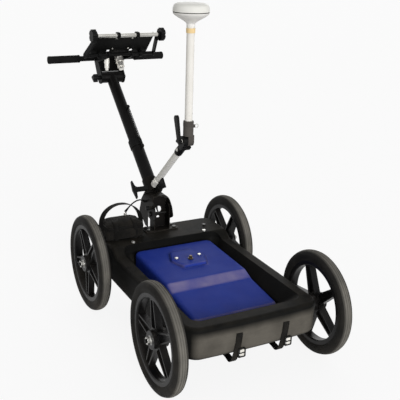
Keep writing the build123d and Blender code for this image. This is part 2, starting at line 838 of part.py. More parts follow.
with BuildPart() as antenna_bolts:
    with BuildSketch(Plane.XY.offset(pad_top_z)):
        with Locations(*pad_bolts):
            Circle(bolt_head_d / 2)
    extrude(amount=bolt_head_h)
    fillet(antenna_bolts.faces().sort_by(Axis.Z)[-2:].edges(), bolt_head_h / 2)
    with BuildSketch(Plane.XY.offset(pad_top_z)):
        with Locations(*pad_bolts):
            Circle(bolt_d / 2)
    extrude(amount=-pad_h - antenna_wall)
    for side in (1, -1):
        with BuildSketch(Plane.YZ.offset(side * antenna_w / 2)):
            with Locations(*((y, screw_z) for y in skid_screws)):
                Circle(small_head_d / 2)
        extrude(amount=side * small_head_h)
        with BuildSketch(Plane.YZ.offset(side * antenna_w / 2)):
            with Locations(*((y, screw_z) for y in skid_screws)):
                Circle(small_bolt_d / 2)
        extrude(amount=-side * 2 * antenna_wall)
save(antenna_bolts.part, "antenna_bolts")

# Slings: webbing from the front wall, under the antenna and up the rear wall of the well
sling_front_y = tub_front_y - sling_t / 2
sling_under_z = antenna_clear - gap - sling_t / 2
sling_back_y = well_back_y + tub_wall + sling_t / 2
with BuildPart() as sling_straps:
    for side in (1, -1):
        with BuildSketch(Plane.YZ.offset(sling_aside + side * sling_x - sling_w / 2)):
            with BuildLine():
                FilletPolyline(
                    (sling_front_y, tub_clear + sling_top),
                    (sling_front_y, tub_clear - sling_bend_r),
                    (sling_front_y + sling_run_in, sling_under_z),
                    (sling_back_y, sling_under_z),
                    (sling_back_y, tub_clear + sling_tail),
                    radius=sling_bend_r,
                )
            trace(line_width=sling_t)
        extrude(amount=sling_w)
save(sling_straps.part, "sling_straps")

buckle_y = sling_front_y - sling_t / 2
with BuildPart() as sling_buckles:
    with BuildSketch(Plane.XZ.offset(-buckle_y)):
        buckle_mid = sling_aside + buckle_aside
        with Locations(*((buckle_mid + side * sling_x, tub_clear + buckle_rise) for side in (1, -1))):
            RectangleRounded(buckle_w, buckle_h, buckle_bar)
            Rectangle(buckle_w - 2 * buckle_bar, buckle_h - 2 * buckle_bar, mode=Mode.SUBTRACT)
            Rectangle(buckle_w, buckle_bar)
    extrude(amount=buckle_t)
save(sling_buckles.part, "sling_buckles")

# Column hinge: bracket on the deck, pin, and the hood that turns on it
hood_inside = bracket_w + 2 * gap
hood_w = hood_inside + 2 * hood_wall
plunger_y = pivot_y - plunger_ahead
plunger_z = pivot_z + plunger_rise
with BuildPart() as base_bracket:
    with BuildSketch(Plane.XY.offset(deck_z)):
        with Locations((0, (foot_front_y + foot_back_y) / 2)):
            RectangleRounded(foot_w, foot_back_y - foot_front_y, foot_margin)
        with Locations(*foot_bolts):
            Circle(bolt_d / 2 + fit, mode=Mode.SUBTRACT)
    extrude(amount=foot_t)
    with BuildSketch(Plane.XY.offset(deck_z)):
        with Locations((0, (bracket_front_y + bracket_back_y) / 2)):
            Rectangle(bracket_w, bracket_back_y - bracket_front_y)
        with Locations((0, (bracket_front_y + bracket_back_y) / 2 - bracket_wall)):
            Rectangle(
                bracket_w - 2 * bracket_wall, bracket_back_y - bracket_front_y, mode=Mode.SUBTRACT
            )
    extrude(amount=bracket_h)
    top_corners = base_bracket.edges().filter_by(Axis.X).group_by(Axis.Z)[-1].sort_by(Axis.Y)[0:2]
    fillet(top_corners, bracket_ahead / 2)
    with BuildSketch(Plane.XZ.offset(-bracket_back_y)) as web:
        with Locations((0, (deck_z + pivot_z + web_rise) / 2)):
            Rectangle(bracket_w, hinge_rise + web_rise)
        fillet(web.vertices().group_by(Axis.Y)[-1], web_corner_r)
    extrude(amount=bracket_wall)
    with BuildSketch(Plane.YZ):
        with Locations((pivot_y, pivot_z)):
            Circle(pin_d / 2 + fit)
    extrude(amount=foot_w, both=True, mode=Mode.SUBTRACT)
    with BuildSketch(Plane.YZ):
        with Locations((plunger_y, plunger_z)):
            Circle(plunger_d / 2 + gap)
    extrude(amount=-foot_w, mode=Mode.SUBTRACT)
    with BuildSketch(Plane.XZ.offset(-bracket_back_y)):
        with Locations((0, pivot_z + web_hole_rise)):
            Circle(web_hole_d / 2)
        with Locations((0, pivot_z - web_slot_drop)):
            SlotOverall(web_slot_w, web_slot_h)
    extrude(amount=bracket_wall, mode=Mode.SUBTRACT)
save(base_bracket.part, "base_bracket")

pin_end = hood_w / 2 + gap
with BuildPart() as pivot_pin:
    with BuildSketch(Plane.YZ.offset(-pin_end)):
        with Locations((pivot_y, pivot_z)):
            Circle(pin_d / 2)
    extrude(amount=2 * pin_end)
    with BuildSketch(Plane.YZ.offset(-pin_end)):
        with Locations((pivot_y, pivot_z)):
            Circle(pin_head_d / 2)
    extrude(amount=-pin_head_h)
    with BuildSketch(Plane.YZ.offset(pin_end)):
        with Locations((pivot_y, pivot_z)):
            RegularPolygon(pin_head_d / 2, 6)
    extrude(amount=pin_head_h)
    fillet(pivot_pin.faces().sort_by(Axis.X)[0].edges(), pin_head_h / 3)
save(pivot_pin.part, "pivot_pin")

heel_z = gap - hinge_rise
with BuildPart() as column_foot:
    with BuildSketch(Plane.XZ.offset(-pivot_y)) as hood:
        with Locations((0, pivot_z)):
            Rectangle(hood_w, 2 * hood_rise)
        fillet(hood.vertices().group_by(Axis.Y)[-1], hood_corner_r)
    extrude(amount=4 * hood_rise, both=True)
    with BuildSketch(Plane.XZ.offset(-pivot_y)) as cavity:
        with Locations((0, pivot_z - hood_wall)):
            Rectangle(hood_inside, 2 * hood_rise)
        fillet(cavity.vertices().group_by(Axis.Y)[-1], hood_corner_r - hood_wall)
    extrude(amount=4 * hood_rise, both=True, mode=Mode.SUBTRACT)
    with BuildSketch(Plane.YZ) as cheek:
        with Locations((pivot_y, pivot_z)):
            Polygon(
                (-cheek_ahead, 0),
                (-cheek_brow_ahead, cheek_brow_rise),
                (-hood_corner_r / 2, cheek_top_rise),
                (-hood_corner_r / 4, hood_rise),
                (hood_crown_back, hood_rise),
                (column_back + hood_corner_r, column_rise - hood_crown_back),
                (column_back + 2 * hood_corner_r, -hood_corner_r),
                (heel_back + heel_l, heel_z),
                (heel_back, heel_z),
                (heel_back, -cheek_step),
                (-cheek_step, -cheek_chin_drop),
                (-cheek_chin_ahead, -cheek_step / 2),
                align=None,
            )
        lowest_soft = pivot_z - cheek_chin_drop - gap
        soft_corners = cheek.vertices().filter_by_position(Axis.Y, lowest_soft, pivot_z + gap)
        fillet(soft_corners, hood_wall * 2)
    extrude(amount=hood_w, both=True, mode=Mode.INTERSECT)
    with BuildSketch(column.offset(foot_plate_at)):
        with Locations((0, hood_corner_r)):
            Rectangle(hood_w, 3 * hood_corner_r)
    extrude(amount=foot_plate_t)
    with BuildSketch(column.offset(foot_plate_at)):
        Circle(collar_d / 2)
    extrude(amount=collar_l - foot_plate_at)
    with BuildSketch(column.offset(foot_plate_at + foot_plate_t)):
        Circle(lower_d / 2 + fit)
    extrude(amount=collar_l * 2, mode=Mode.SUBTRACT)
    with BuildSketch(Plane.YZ.offset(-hood_w / 2)):
        with Locations((plunger_y, plunger_z)):
            Circle(plunger_barrel_d / 2)
    extrude(amount=-plunger_barrel_l)
    with BuildSketch(Plane.YZ):
        with Locations((plunger_y, plunger_z)):
            Circle(plunger_d / 2 + fit)
    extrude(amount=-hood_w, mode=Mode.SUBTRACT)
    with BuildSketch(Plane.YZ):
        with Locations((pivot_y, pivot_z)):
            Circle(pin_d / 2 + fit)
    extrude(amount=hood_w, both=True, mode=Mode.SUBTRACT)
    with BuildSketch(Plane.YZ):
        with Locations((pivot_y + cheek_hole_back, pivot_z - cheek_hole_drop)):
            Circle(cheek_hole_d / 2)
    extrude(amount=hood_w, mode=Mode.SUBTRACT)
save(column_foot.part, "column_foot")

plunger_tip = -bracket_w / 2 - gap
plunger_face = -hood_w / 2 - plunger_barrel_l - gap
with BuildPart() as fold_plunger:
    with BuildSketch(Plane.YZ.offset(plunger_tip)):
        with Locations((plunger_y, plunger_z)):
            Circle(plunger_d / 2)
    extrude(amount=plunger_face - plunger_tip)
    with BuildSketch(Plane.YZ.offset(plunger_face)):
        with Locations((plunger_y, plunger_z)):
            Circle(plunger_knob_d / 2)
    extrude(amount=-plunger_knob_l)
    fillet(fold_plunger.faces().sort_by(Axis.X)[0].edges(), plunger_knob_d / 6)
save(fold_plunger.part, "fold_plunger")

# Column tubes and the twist collar that locks them
cord_out = twist_d / 2 + gap + cord_d / 2
cord_x = cord_out * cos(radians(cord_turn))
cord_down = -cord_out * sin(radians(cord_turn))
bore_r = lower_d / 2 - tube_wall
upper_r = bore_r - fit
with BuildPart() as lower_column:
    with BuildSketch(column.offset(foot_plate_at + foot_plate_t)):
        Circle(lower_d / 2)
    extrude(amount=lower_top - foot_plate_at - foot_plate_t)
    with BuildSketch(column.offset(cord_bottom - cord_clip_l)):
        with Locations((cord_x / 2, cord_down / 2)):
            Rectangle(cord_out + cord_d, cord_d, rotation=-cord_turn)
    extrude(amount=cord_clip_l)
    with BuildSketch(column.offset(foot_plate_at)):
        Circle(bore_r)
    extrude(amount=lower_top * 2, mode=Mode.SUBTRACT)
save(lower_column.part, "lower_column")

with BuildPart() as upper_column:
    with BuildSketch(column.offset(lower_top - slide_in)):
        Circle(upper_r)
    extrude(amount=column_l - lower_top + slide_in)
    with BuildSketch(column.offset(cord_top)):
        with Locations((cord_x / 2, cord_down / 2)):
            Rectangle(cord_out + cord_d, cord_d, rotation=-cord_turn)
    extrude(amount=cord_clip_l)
    with BuildSketch(column.offset(lower_top - slide_in)):
        Circle(upper_r - tube_wall)
    extrude(amount=column_l - lower_top + slide_in - knuckle_d / 2, mode=Mode.SUBTRACT)
    with BuildSketch(Plane.YZ):
        with Locations((head_y, head_z)):
            Circle(knuckle_d / 2)
    extrude(amount=head_inside / 2 - gap, both=True)
    with BuildSketch(Plane.YZ):
        with Locations((head_y, head_z)):
            Circle(stud_d / 2 + fit)
    extrude(amount=head_inside, both=True, mode=Mode.SUBTRACT)
save(upper_column.part, "upper_column")

with BuildPart() as column_clamp:
    with BuildSketch(column.offset(lower_top - twist_over)):
        Circle(twist_d / 2)
        with PolarLocations(twist_d / 2, twist_ribs):
            Circle(twist_rib_d / 4, mode=Mode.SUBTRACT)
    extrude(amount=twist_l)
    with BuildSketch(column.offset(lower_top - twist_over)):
        Circle(lower_d / 2 + fit)
    extrude(amount=twist_over + gap, mode=Mode.SUBTRACT)
    with BuildSketch(column.offset(lower_top)):
        Circle(bore_r)
    extrude(amount=twist_l, mode=Mode.SUBTRACT)
save(column_clamp.part, "column_clamp")

with BuildPart() as curly_cord:
    with BuildSketch(column.offset(cord_bottom)):
        with Locations((cord_x, cord_down)):
            Circle(cord_d / 2)
    extrude(amount=cord_top - cord_bottom)
save(curly_cord.part, "curly_cord")

# Cleat for winding cable, on the left of the collar
cleat_at = foot_plate_at + foot_plate_t + gap + cleat_neck_w / 2
cleat_mid = (column_side * Pos(cleat_at, cleat_over, 0)).position
cleat_face = Plane(origin=cleat_mid, x_dir=(-1, 0, 0), z_dir=(0, cos(lean), -sin(lean)))
with BuildPart() as cable_cleat:
    with BuildSketch(cleat_face) as horns:
        with BuildLine():
            Polyline(
                (0, -cleat_neck_w / 2),
                (cleat_out - cleat_bar, -cleat_neck_w / 2),
                (cleat_out - cleat_bar / 2, -cleat_l / 2),
                (cleat_out, -cleat_l / 2),
                (cleat_out + cleat_bar / 2, 0),
                (cleat_out, cleat_l / 2),
                (cleat_out - cleat_bar / 2, cleat_l / 2),
                (cleat_out - cleat_bar, cleat_neck_w / 2),
                (0, cleat_neck_w / 2),
                close=True,
            )
        make_face()
        throat_x = cleat_out - cleat_bar
        fillet(horns.vertices().filter_by_position(Axis.X, throat_x - gap, throat_x + gap), cleat_throat_r)
        tip_x = cleat_out - cleat_bar / 2
        fillet(horns.vertices().filter_by_position(Axis.X, tip_x - gap, cleat_out + gap), cleat_bar / 6)
    extrude(amount=cleat_t / 2, both=True)
    with BuildSketch(column.offset(foot_plate_at)):
        Circle(collar_d / 2)
    extrude(amount=2 * collar_l, mode=Mode.SUBTRACT)
save(cable_cleat.part, "cable_cleat")

# Mast arm, welded to the column's collar
arm_bolt_at = sleeve_end - sleeve_d / 2
elbow_bolt_at = arm_end - elbow_sleeve_l / 2
with BuildPart() as gps_bracket:
    with BuildSketch(arm_side):
        Polygon(
            (0, 0),
            (gusset_end, 0),
            (gusset_end, -gusset_depth),
            (sleeve_end * 2 / 3, -gusset_heel),
            (0, -gusset_heel),
            align=None,
        )
    extrude(amount=gusset_t / 2, both=True)
    with BuildSketch(arm):
        Circle(sleeve_d / 2)
    extrude(amount=sleeve_end)
    with BuildSketch(arm):
        Circle(arm_d / 2 + fit)
    extrude(amount=arm_l, mode=Mode.SUBTRACT)
    with BuildSketch(column.offset(-column_l)):
        Circle(collar_d / 2)
    extrude(amount=2 * column_l, mode=Mode.SUBTRACT)
    with BuildSketch(Plane.XY.offset(pivot_z + hood_rise)):
        with Locations((0, pivot_y)):
            Rectangle(2 * hood_w, 4 * hood_rise)
    extrude(amount=-hood_rise, mode=Mode.SUBTRACT)
    with BuildSketch(arm_side):
        with Locations((arm_bolt_at, 0)):
            Circle(elbow_pin_d / 2 + fit)
    extrude(amount=sleeve_d, both=True, mode=Mode.SUBTRACT)
save(gps_bracket.part, "gps_bracket")

with BuildPart() as gps_arm:
    with BuildSketch(arm.offset(arm_start)):
        Circle(arm_d / 2)
        Circle(arm_d / 2 - arm_wall, mode=Mode.SUBTRACT)
    extrude(amount=arm_end - arm_start)
    with BuildSketch(arm_side):
        with Locations((arm_bolt_at, 0), (elbow_bolt_at, 0)):
            Circle(elbow_pin_d / 2 + fit)
    extrude(amount=arm_d, both=True, mode=Mode.SUBTRACT)
save(gps_arm.part, "gps_arm")

clevis_root = arm_short - elbow_r
with BuildPart() as elbow_base:
    with BuildSketch(arm.offset(arm_end - elbow_sleeve_l)):
        Circle(elbow_sleeve_d / 2)
    extrude(amount=elbow_sleeve_l + clevis_root / 2)
    with BuildSketch(arm_side):
        with Locations((arm_l, 0)):
            Circle(elbow_r)
        with Locations(((arm_l + arm_end) / 2, 0)):
            Rectangle(arm_short, 2 * elbow_r)
    extrude(amount=clevis_w / 2, both=True)
    with BuildSketch(arm_side.offset(lap_x + gap)):
        with Locations((arm_l, 0)):
            Circle(elbow_r + gap)
            Rectangle(2 * elbow_r + 2 * gap, 2 * elbow_r + 2 * gap)
    extrude(amount=-clevis_w, mode=Mode.SUBTRACT)
    with BuildSketch(arm):
        Circle(arm_d / 2 + fit)
    extrude(amount=arm_end, mode=Mode.SUBTRACT)
    with BuildSketch(arm_side):
        with Locations((elbow_bolt_at, 0), (arm_l, 0)):
            Circle(elbow_pin_d / 2 + fit)
    extrude(amount=clevis_w, both=True, mode=Mode.SUBTRACT)
save(elbow_base.part, "elbow_base")

# Cross bolts of the arm and the elbow, with washers under the elbow's lever
with BuildPart() as gps_bolts:
    bolt_spans = ((arm_bolt_at, sleeve_d), (elbow_bolt_at, elbow_sleeve_d), (arm_l, clevis_w))
    for place, span in bolt_spans:
        with BuildSketch(arm_side):
            with Locations((place, 0)):
                Circle(elbow_pin_d / 2)
        extrude(amount=span / 2, both=True)
        for side in (1, -1):
            with BuildSketch(arm_side.offset(side * span / 2)):
                with Locations((place, 0)):
                    Circle(bolt_head_d / 2)
            extrude(amount=side * bolt_head_h / 2)
save(gps_bolts.part, "gps_bolts")

# Elbow socket that holds the pole
cup_bottom_z = elbow_z + socket_bottom
cup_top_z = elbow_z + socket_top
pull_z = elbow_z + pull_rise
with BuildPart() as elbow_socket:
    with BuildSketch(Plane.XY.offset(cup_bottom_z)):
        with Locations((0, pole_y)):
            Circle(cup_d / 2)
    extrude(amount=cup_top_z - cup_bottom_z)
    fillet(elbow_socket.faces().sort_by(Axis.Z)[-1].edges(), pole_wall)
    with BuildSketch(Plane.YZ.offset(-lap_x)):
        with Locations((elbow_y, elbow_z)):
            Circle(elbow_r)
        with Locations(((elbow_y + pole_y) / 2, elbow_z + (socket_bottom + pole_wall) / 2)):
            Rectangle(2 * elbow_r - pole_ahead, socket_bottom + pole_wall)
    extrude(amount=lap_x + clevis_w / 2)
    with BuildSketch(Plane.YZ):
        with Locations((pole_y, pull_z)):
            Circle(pull_barrel_d / 2)
    extrude(amount=cup_d / 2 + pull_barrel_l)
    with BuildSketch(Plane.XY.offset(elbow_z + pole_seat)):
        with Locations((0, pole_y)):
            Circle(pole_d / 2 + fit)
    extrude(amount=socket_top, mode=Mode.SUBTRACT)
    with BuildSketch(Plane.YZ):
        with Locations((elbow_y, elbow_z)):
            Circle(elbow_pin_d / 2 + fit)
    extrude(amount=cup_d, both=True, mode=Mode.SUBTRACT)
    with BuildSketch(Plane.YZ):
        with Locations((pole_y, pull_z)):
            Circle(pull_d / 2 + fit)
    extrude(amount=cup_d * 2, mode=Mode.SUBTRACT)
save(elbow_socket.part, "elbow_socket")

# Clamp lever, with room for its corners to turn past the bolt's washer
lever_corner_r = hypot(lever_t, lever_barrel_d) / 2
lever_stand = clevis_w / 2 + bolt_head_h / 2 + gap + lever_corner_r
with BuildPart() as elbow_lever:
    with BuildSketch(Plane.XZ.offset(-elbow_y)):
        with Locations((-lever_stand, elbow_z)):
            Circle(lever_barrel_d / 2)
    extrude(amount=lever_w / 2, both=True)
    with BuildSketch(Plane.YZ.offset(-lever_stand - lever_t / 2)):
        with Locations((elbow_y, elbow_z)):
            Circle(lever_barrel_d / 2)
        with Locations((elbow_y + lever_back, elbow_z + lever_l - lever_w / 2)):
            Circle(lever_w / 2)
        make_hull()
    extrude(amount=lever_t)
save(elbow_lever.part, "elbow_lever")

pull_tip = pole_d / 2 + gap
pull_face = cup_d / 2 + pull_barrel_l + gap
with BuildPart() as pole_pin:
    with BuildSketch(Plane.YZ.offset(pull_tip)):
        with Locations((pole_y, pull_z)):
            Circle(pull_d / 2)
    extrude(amount=pull_face + pull_ring_t - pull_tip)
    with BuildSketch(Plane.XZ.offset(-pole_y)):
        with Locations((pull_face + pull_ring_d / 2, pull_z)):
            Circle(pull_ring_d / 2)
            Circle(pull_ring_d / 2 - pull_ring_t, mode=Mode.SUBTRACT)
    extrude(amount=pull_ring_t / 2, both=True)
save(pole_pin.part, "pole_pin")

# Pole and satellite receiver
pole_foot_z = elbow_z + pole_seat + gap
pole_top_z = elbow_z + pole_top
with BuildPart() as gps_pole:
    with BuildSketch(Plane.XY.offset(pole_foot_z)):
        with Locations((0, pole_y)):
            Circle(pole_d / 2)
            Circle(pole_d / 2 - pole_wall, mode=Mode.SUBTRACT)
    extrude(amount=pole_top_z - pole_foot_z)
save(gps_pole.part, "gps_pole")

with BuildPart() as gps_collar:
    with BuildSketch(Plane.XY.offset(pole_top_z - collar_ring_drop)):
        with Locations((0, pole_y)):
            Circle(collar_ring_d / 2)
            Circle(pole_d / 2 + fit, mode=Mode.SUBTRACT)
    extrude(amount=-collar_ring_l)
save(gps_collar.part, "gps_collar")

pole_axis = Axis((0, pole_y, 0), (0, 0, 1))
receiver = Plane(origin=(0, pole_y, pole_top_z), x_dir=(1, 0, 0), z_dir=(0, -1, 0))
neck_r = bowl_neck_d / 2
dome_r = dome_d / 2
seam_z = bowl_h + seam_t
with BuildPart() as gps_base_shell:
    with BuildSketch(receiver):
        with BuildLine():
            Line((neck_r, 0), (neck_r, bowl_stem_h))
            Bezier(
                (neck_r, bowl_stem_h),
                (bowl_throat_d / 2, bowl_h - bowl_throat_drop),
                (dome_r - bowl_brim_in, bowl_h - bowl_brim_fall),
                (dome_r, bowl_h),
            )
            Polyline(
                (dome_r, bowl_h),
                (dome_r - shell_wall, bowl_h),
                (board_floor_d / 2, board_floor),
                (0, board_floor),
                (0, 0),
                (neck_r, 0),
            )
        make_face()
    revolve(axis=pole_axis)
save(gps_base_shell.part, "gps_base_shell")

with BuildPart() as gps_gasket:
    with BuildSketch(Plane.XY.offset(pole_top_z + bowl_h)):
        with Locations((0, pole_y)):
            Circle(dome_r - shell_wall / 3)
            Circle(dome_r - shell_wall, mode=Mode.SUBTRACT)
    extrude(amount=seam_t)
save(gps_gasket.part, "gps_gasket")

with BuildPart() as gps_dome:
    with BuildSketch(receiver):
        with BuildLine():
            Line((0, seam_z + dome_h), (0, seam_z + dome_h - shell_wall))
            for width, height in ((dome_r, dome_h), (dome_r - shell_wall, dome_h - shell_wall)):
                Bezier(
                    (width, seam_z),
                    (width, seam_z + dome_shoulder * height),
                    (dome_shoulder * width, seam_z + height),
                    (0, seam_z + height),
                )
            Line((dome_r - shell_wall, seam_z), (dome_r, seam_z))
        make_face()
    revolve(axis=pole_axis)
save(gps_dome.part, "gps_dome")

with BuildPart() as gps_board:
    with BuildSketch(receiver):
        with Locations((receiver_board_d / 8, board_floor + shell_wall)):
            Rectangle(receiver_board_d / 4, 2 * shell_wall)
        with Locations((receiver_board_d / 4, board_floor + 2 * shell_wall + board_t / 2)):
            Rectangle(receiver_board_d / 2, board_t)
    revolve(axis=pole_axis)
save(gps_board.part, "gps_board")

# Head fork, handlebar and grips
ear_x = head_inside / 2
ear_out = ear_x + ear_t
limb = atan2(rail_z - handlebar_z, rail_y - handlebar_y)
ear_l = (bar_back**2 + bar_rise**2) ** 0.5
ear_lean = atan2(bar_rise, bar_back)
web_along = (yoke_web_near + ear_l) / 2
bridge_y = handlebar_y + bridge_at * (rail_y - handlebar_y)
bridge_z = handlebar_z + bridge_at * (rail_z - handlebar_z)
with BuildPart() as head_yoke:
    for side in (1, -1):
        with BuildSketch(Plane.YZ.offset(side * ear_x)):
            with Locations((head_y, head_z)):
                Circle(ear_r)
            with Locations((handlebar_y, handlebar_z)):
                Circle(bar_boss_r)
            make_hull()
        extrude(amount=side * ear_t)
        with BuildSketch(Plane.YZ.offset(side * ear_x)):
            with Locations((handlebar_y, handlebar_z)):
                Circle(bar_boss_r)
            with Locations((rail_y, rail_z)):
                Circle(rail_boss_r)
            make_hull()
        extrude(amount=side * ear_t)
    with BuildSketch(Plane.YZ):
        with Locations((bridge_y, bridge_z)):
            Rectangle(bridge_w, bridge_t, rotation=degrees(limb))
        with Locations((head_y + web_along * cos(ear_lean), head_z + web_along * sin(ear_lean))):
            Rectangle(ear_l - yoke_web_near, yoke_web_t, rotation=degrees(ear_lean))
    extrude(amount=ear_x, both=True)
    with BuildSketch(Plane.YZ.offset(ear_out)):
        with Locations((head_y, head_z)):
            RegularPolygon(stud_d, 6)
    extrude(amount=stud_d)
    with BuildSketch(Plane.YZ):
        with Locations((handlebar_y, handlebar_z)):
            Circle(bar_d / 2 + fit)
        with Locations((rail_y, rail_z)):
            Circle(rail_d / 2 + fit)
        with Locations((head_y, head_z)):
            Circle(stud_d / 2 + fit)
    extrude(amount=ear_out, both=True, mode=Mode.SUBTRACT)
save(head_yoke.part, "head_yoke")

with BuildPart() as handlebar:
    with BuildSketch(Plane.YZ):
        with Locations((handlebar_y, handlebar_z)):
            Circle(bar_d / 2)
            Circle(bar_d / 2 - tube_wall, mode=Mode.SUBTRACT)
    extrude(amount=bar_half_l - grip_end, both=True)
save(handlebar.part, "handlebar")

with BuildPart() as grips:
    for side in (1, -1):
        with BuildSketch(Plane.YZ.offset(side * bar_half_l)):
            with Locations((handlebar_y, handlebar_z)):
                Circle(grip_d / 2)
        extrude(amount=-side * grip_l)
        end_face = grips.faces().filter_by(Axis.X).sort_by(Axis.X)[-1 if side > 0 else 0]
        fillet(end_face.edges(), grip_end)
        with BuildSketch(Plane.YZ.offset(side * (bar_half_l - grip_end))):
            with Locations((handlebar_y, handlebar_z)):
                Circle(bar_d / 2 + fit)
        extrude(amount=-side * grip_l, mode=Mode.SUBTRACT)
save(grips.part, "grips")

# Tray frame: lower rail, two arms and the silver bar
arm_in = tray_inside / 2
arm_out = arm_in + tray_arm_t
plate_under = rail_boss_r + gap
with BuildPart() as tray_arms:
    for side in (1, -1):
        with BuildSketch(tray_face):
            Polygon(
                (side * arm_in, -tray_arm_w / 2),
                (side * arm_out, -tray_arm_w / 2),
                (side * arm_out, tray_arm_bend),
                (side * (arm_out + tray_splay), tray_arm_l),
                (side * (arm_out + tray_splay), tray_arm_l + tray_arm_w / 2),
                (side * (arm_in + tray_splay), tray_arm_l + tray_arm_w / 2),
                (side * (arm_in + tray_splay), tray_arm_l),
                (side * arm_in, tray_arm_bend),
                align=None,
            )
        extrude(amount=tray_arm_w / 2, both=True)
    arm_ends = [e for e in tray_arms.edges().filter_by(Axis.X) if e.length < 2 * tray_arm_t]
    fillet(arm_ends, tray_arm_w / 2 - gap)
    with BuildSketch(Plane.YZ):
        with Locations((rail_y, rail_z)):
            Circle(rail_d / 2)
    extrude(amount=arm_out + tray_splay, both=True)
    for side in (1, -1):
        with BuildSketch(Plane.YZ.offset(side * rail_pad_x - rail_pad_w / 2)):
            with Locations((rail_y, rail_z)):
                Circle(rail_boss_r)
        extrude(amount=rail_pad_w)
    with BuildSketch(Plane.YZ):
        with Locations((silver_y, silver_z)):
            Circle(stud_d / 2 + fit)
    extrude(amount=arm_out, both=True, mode=Mode.SUBTRACT)
save(tray_arms.part, "tray_arms")

with BuildPart() as tray_bar:
    with BuildSketch(Plane.YZ):
        with Locations((silver_y, silver_z)):
            Circle(silver_d / 2)
    extrude(amount=arm_in - gap, both=True)
    for side in (1, -1):
        with BuildSketch(Plane.YZ.offset(side * (arm_in - gap))):
            with Locations((silver_y, silver_z)):
                Circle(stud_d / 2)
        extrude(amount=side * (tray_arm_t + gap))
save(tray_bar.part, "tray_bar")

plate_half_w = arm_in - plate_side_gap
plate_end = tray_arm_l + plate_past
with BuildPart() as tray_plate:
    with BuildSketch(tray_side):
        with Locations(((plate_top + plate_end) / 2, plate_under + plate_t / 2)):
            Rectangle(plate_end - plate_top, plate_t)
        with Locations((plate_end - plate_t / 2, plate_under + ledge_h / 2)):
            Rectangle(plate_t, ledge_h)
    extrude(amount=plate_half_w, both=True)
    for side in (1, -1):
        with BuildSketch(tray_side.offset(side * plate_half_w)):
            with Locations(((plate_top + plate_end) / 2, plate_under + ledge_h / 2)):
                Rectangle(plate_end - plate_top, ledge_h)
        extrude(amount=-side * plate_t)
        with BuildSketch(tray_side.offset(side * sleeve_x - sleeve_w / 2)):
            Circle(silver_d / 2 + sleeve_wall)
            with Locations((plate_top / 2 + sleeve_wall, plate_under + plate_t / 2 - sleeve_wall / 2)):
                Rectangle(plate_top + 2 * sleeve_wall, plate_t + sleeve_wall)
        extrude(amount=sleeve_w)
    with BuildSketch(tray_side.offset(-arm_in)):
        Circle(silver_d / 2 + fit)
    extrude(amount=tray_inside, mode=Mode.SUBTRACT)
    for side in (1, -1):
        with BuildSketch(tray_side.offset(side * (ear_x - 2 * gap - ear_t / 2))):
            with Locations((tray_arm_l + plate_past, plate_under)):
                Rectangle(2 * (plate_past + rail_boss_r), 4 * ledge_h)
        extrude(amount=side * (2 * ear_t + 4 * gap), mode=Mode.SUBTRACT)
    plate_mid = (plate_top + tray_arm_l) / 2
    plate_face = Plane(
        origin=(tray_side * Pos(plate_mid, plate_under, 0)).position, x_dir=(1, 0, 0), z_dir=over_tray
    )
    with BuildSketch(plate_face):
        with GridLocations(display_pitch, display_pitch, 2, 2):
            Circle(display_hole_d / 2)
    extrude(amount=plate_t, mode=Mode.SUBTRACT)
save(tray_plate.part, "tray_plate")

# Cable plugs under the fork's bridge
with BuildPart() as cable_plugs:
    small_plug = Plane(origin=(-plug_x, bridge_y, bridge_z), x_dir=(1, 0, 0), z_dir=(0, 0, -1))
    big_plug = Plane(
        origin=(big_plug_x, bridge_y, bridge_z),
        x_dir=(1, 0, 0),
        z_dir=(0, -sin(radians(big_plug_tilt)), -cos(radians(big_plug_tilt))),
    )
    for plane, width, length in ((small_plug, plug_d, plug_l), (big_plug, big_plug_d, big_plug_l)):
        with BuildSketch(plane):
            Circle(width / 2)
        extrude(amount=length / 2)
        with BuildSketch(plane.offset(length / 2)):
            Circle(width * plug_waist / 2)
        extrude(amount=length / 3)
        with BuildSketch(plane.offset(length * 5 / 6)):
            Circle(width * plug_tail / 2)
        extrude(amount=length / 6)
    with BuildSketch(Plane.YZ):
        with Locations((bridge_y, bridge_z)):
            Rectangle(bridge_w * 2, bridge_t, rotation=degrees(limb))
        with Locations((bridge_y + bridge_t * 2 * sin(limb), bridge_z - bridge_t * 2 * cos(limb))):
            Rectangle(bridge_w * 2, bridge_t * 4, rotation=degrees(limb))
    extrude(amount=ear_x, both=True, mode=Mode.SUBTRACT)
save(cable_plugs.part, "cable_plugs")

# Knobs
with BuildPart() as tilt_knob:
    with BuildSketch(Plane.YZ.offset(ear_out)):
        with Locations((head_y, head_z)):
            Circle(stud_d / 2)
    extrude(amount=-2 * ear_out - gap)
    with BuildSketch(Plane.YZ.offset(-ear_out - gap)):
        with Locations((head_y, head_z)):
            Circle(tilt_neck_d / 2)
    extrude(amount=-tilt_neck_l)
    with BuildSketch(Plane.YZ.offset(-ear_out - gap - tilt_neck_l)):
        with Locations((head_y, head_z)):
            Circle(tilt_knob_d / 3)
            with PolarLocations(tilt_knob_d / 3, 3):
                Circle(tilt_knob_d / 6)
    extrude(amount=-tilt_knob_l)
    fillet(tilt_knob.faces().sort_by(Axis.X)[0].edges(), tilt_knob_d / 14)
save(tilt_knob.part, "tilt_knob")

for side, name in ((-1, "tray_knob_left"), (1, "tray_knob_right")):
    with BuildPart() as tray_knob:
        with BuildSketch(Plane.YZ.offset(side * (arm_out + gap))):
            with Locations((silver_y, silver_z)):
                Circle(tray_knob_d / 2)
                with PolarLocations(tray_knob_d / 2, knob_lobes):
                    Circle(tray_knob_d / 12, mode=Mode.SUBTRACT)
        extrude(amount=side * tray_knob_l)
        fillet(tray_knob.faces().sort_by(Axis.X)[-1 if side > 0 else 0].edges(), tray_knob_d / 20)
    save(tray_knob.part, name)

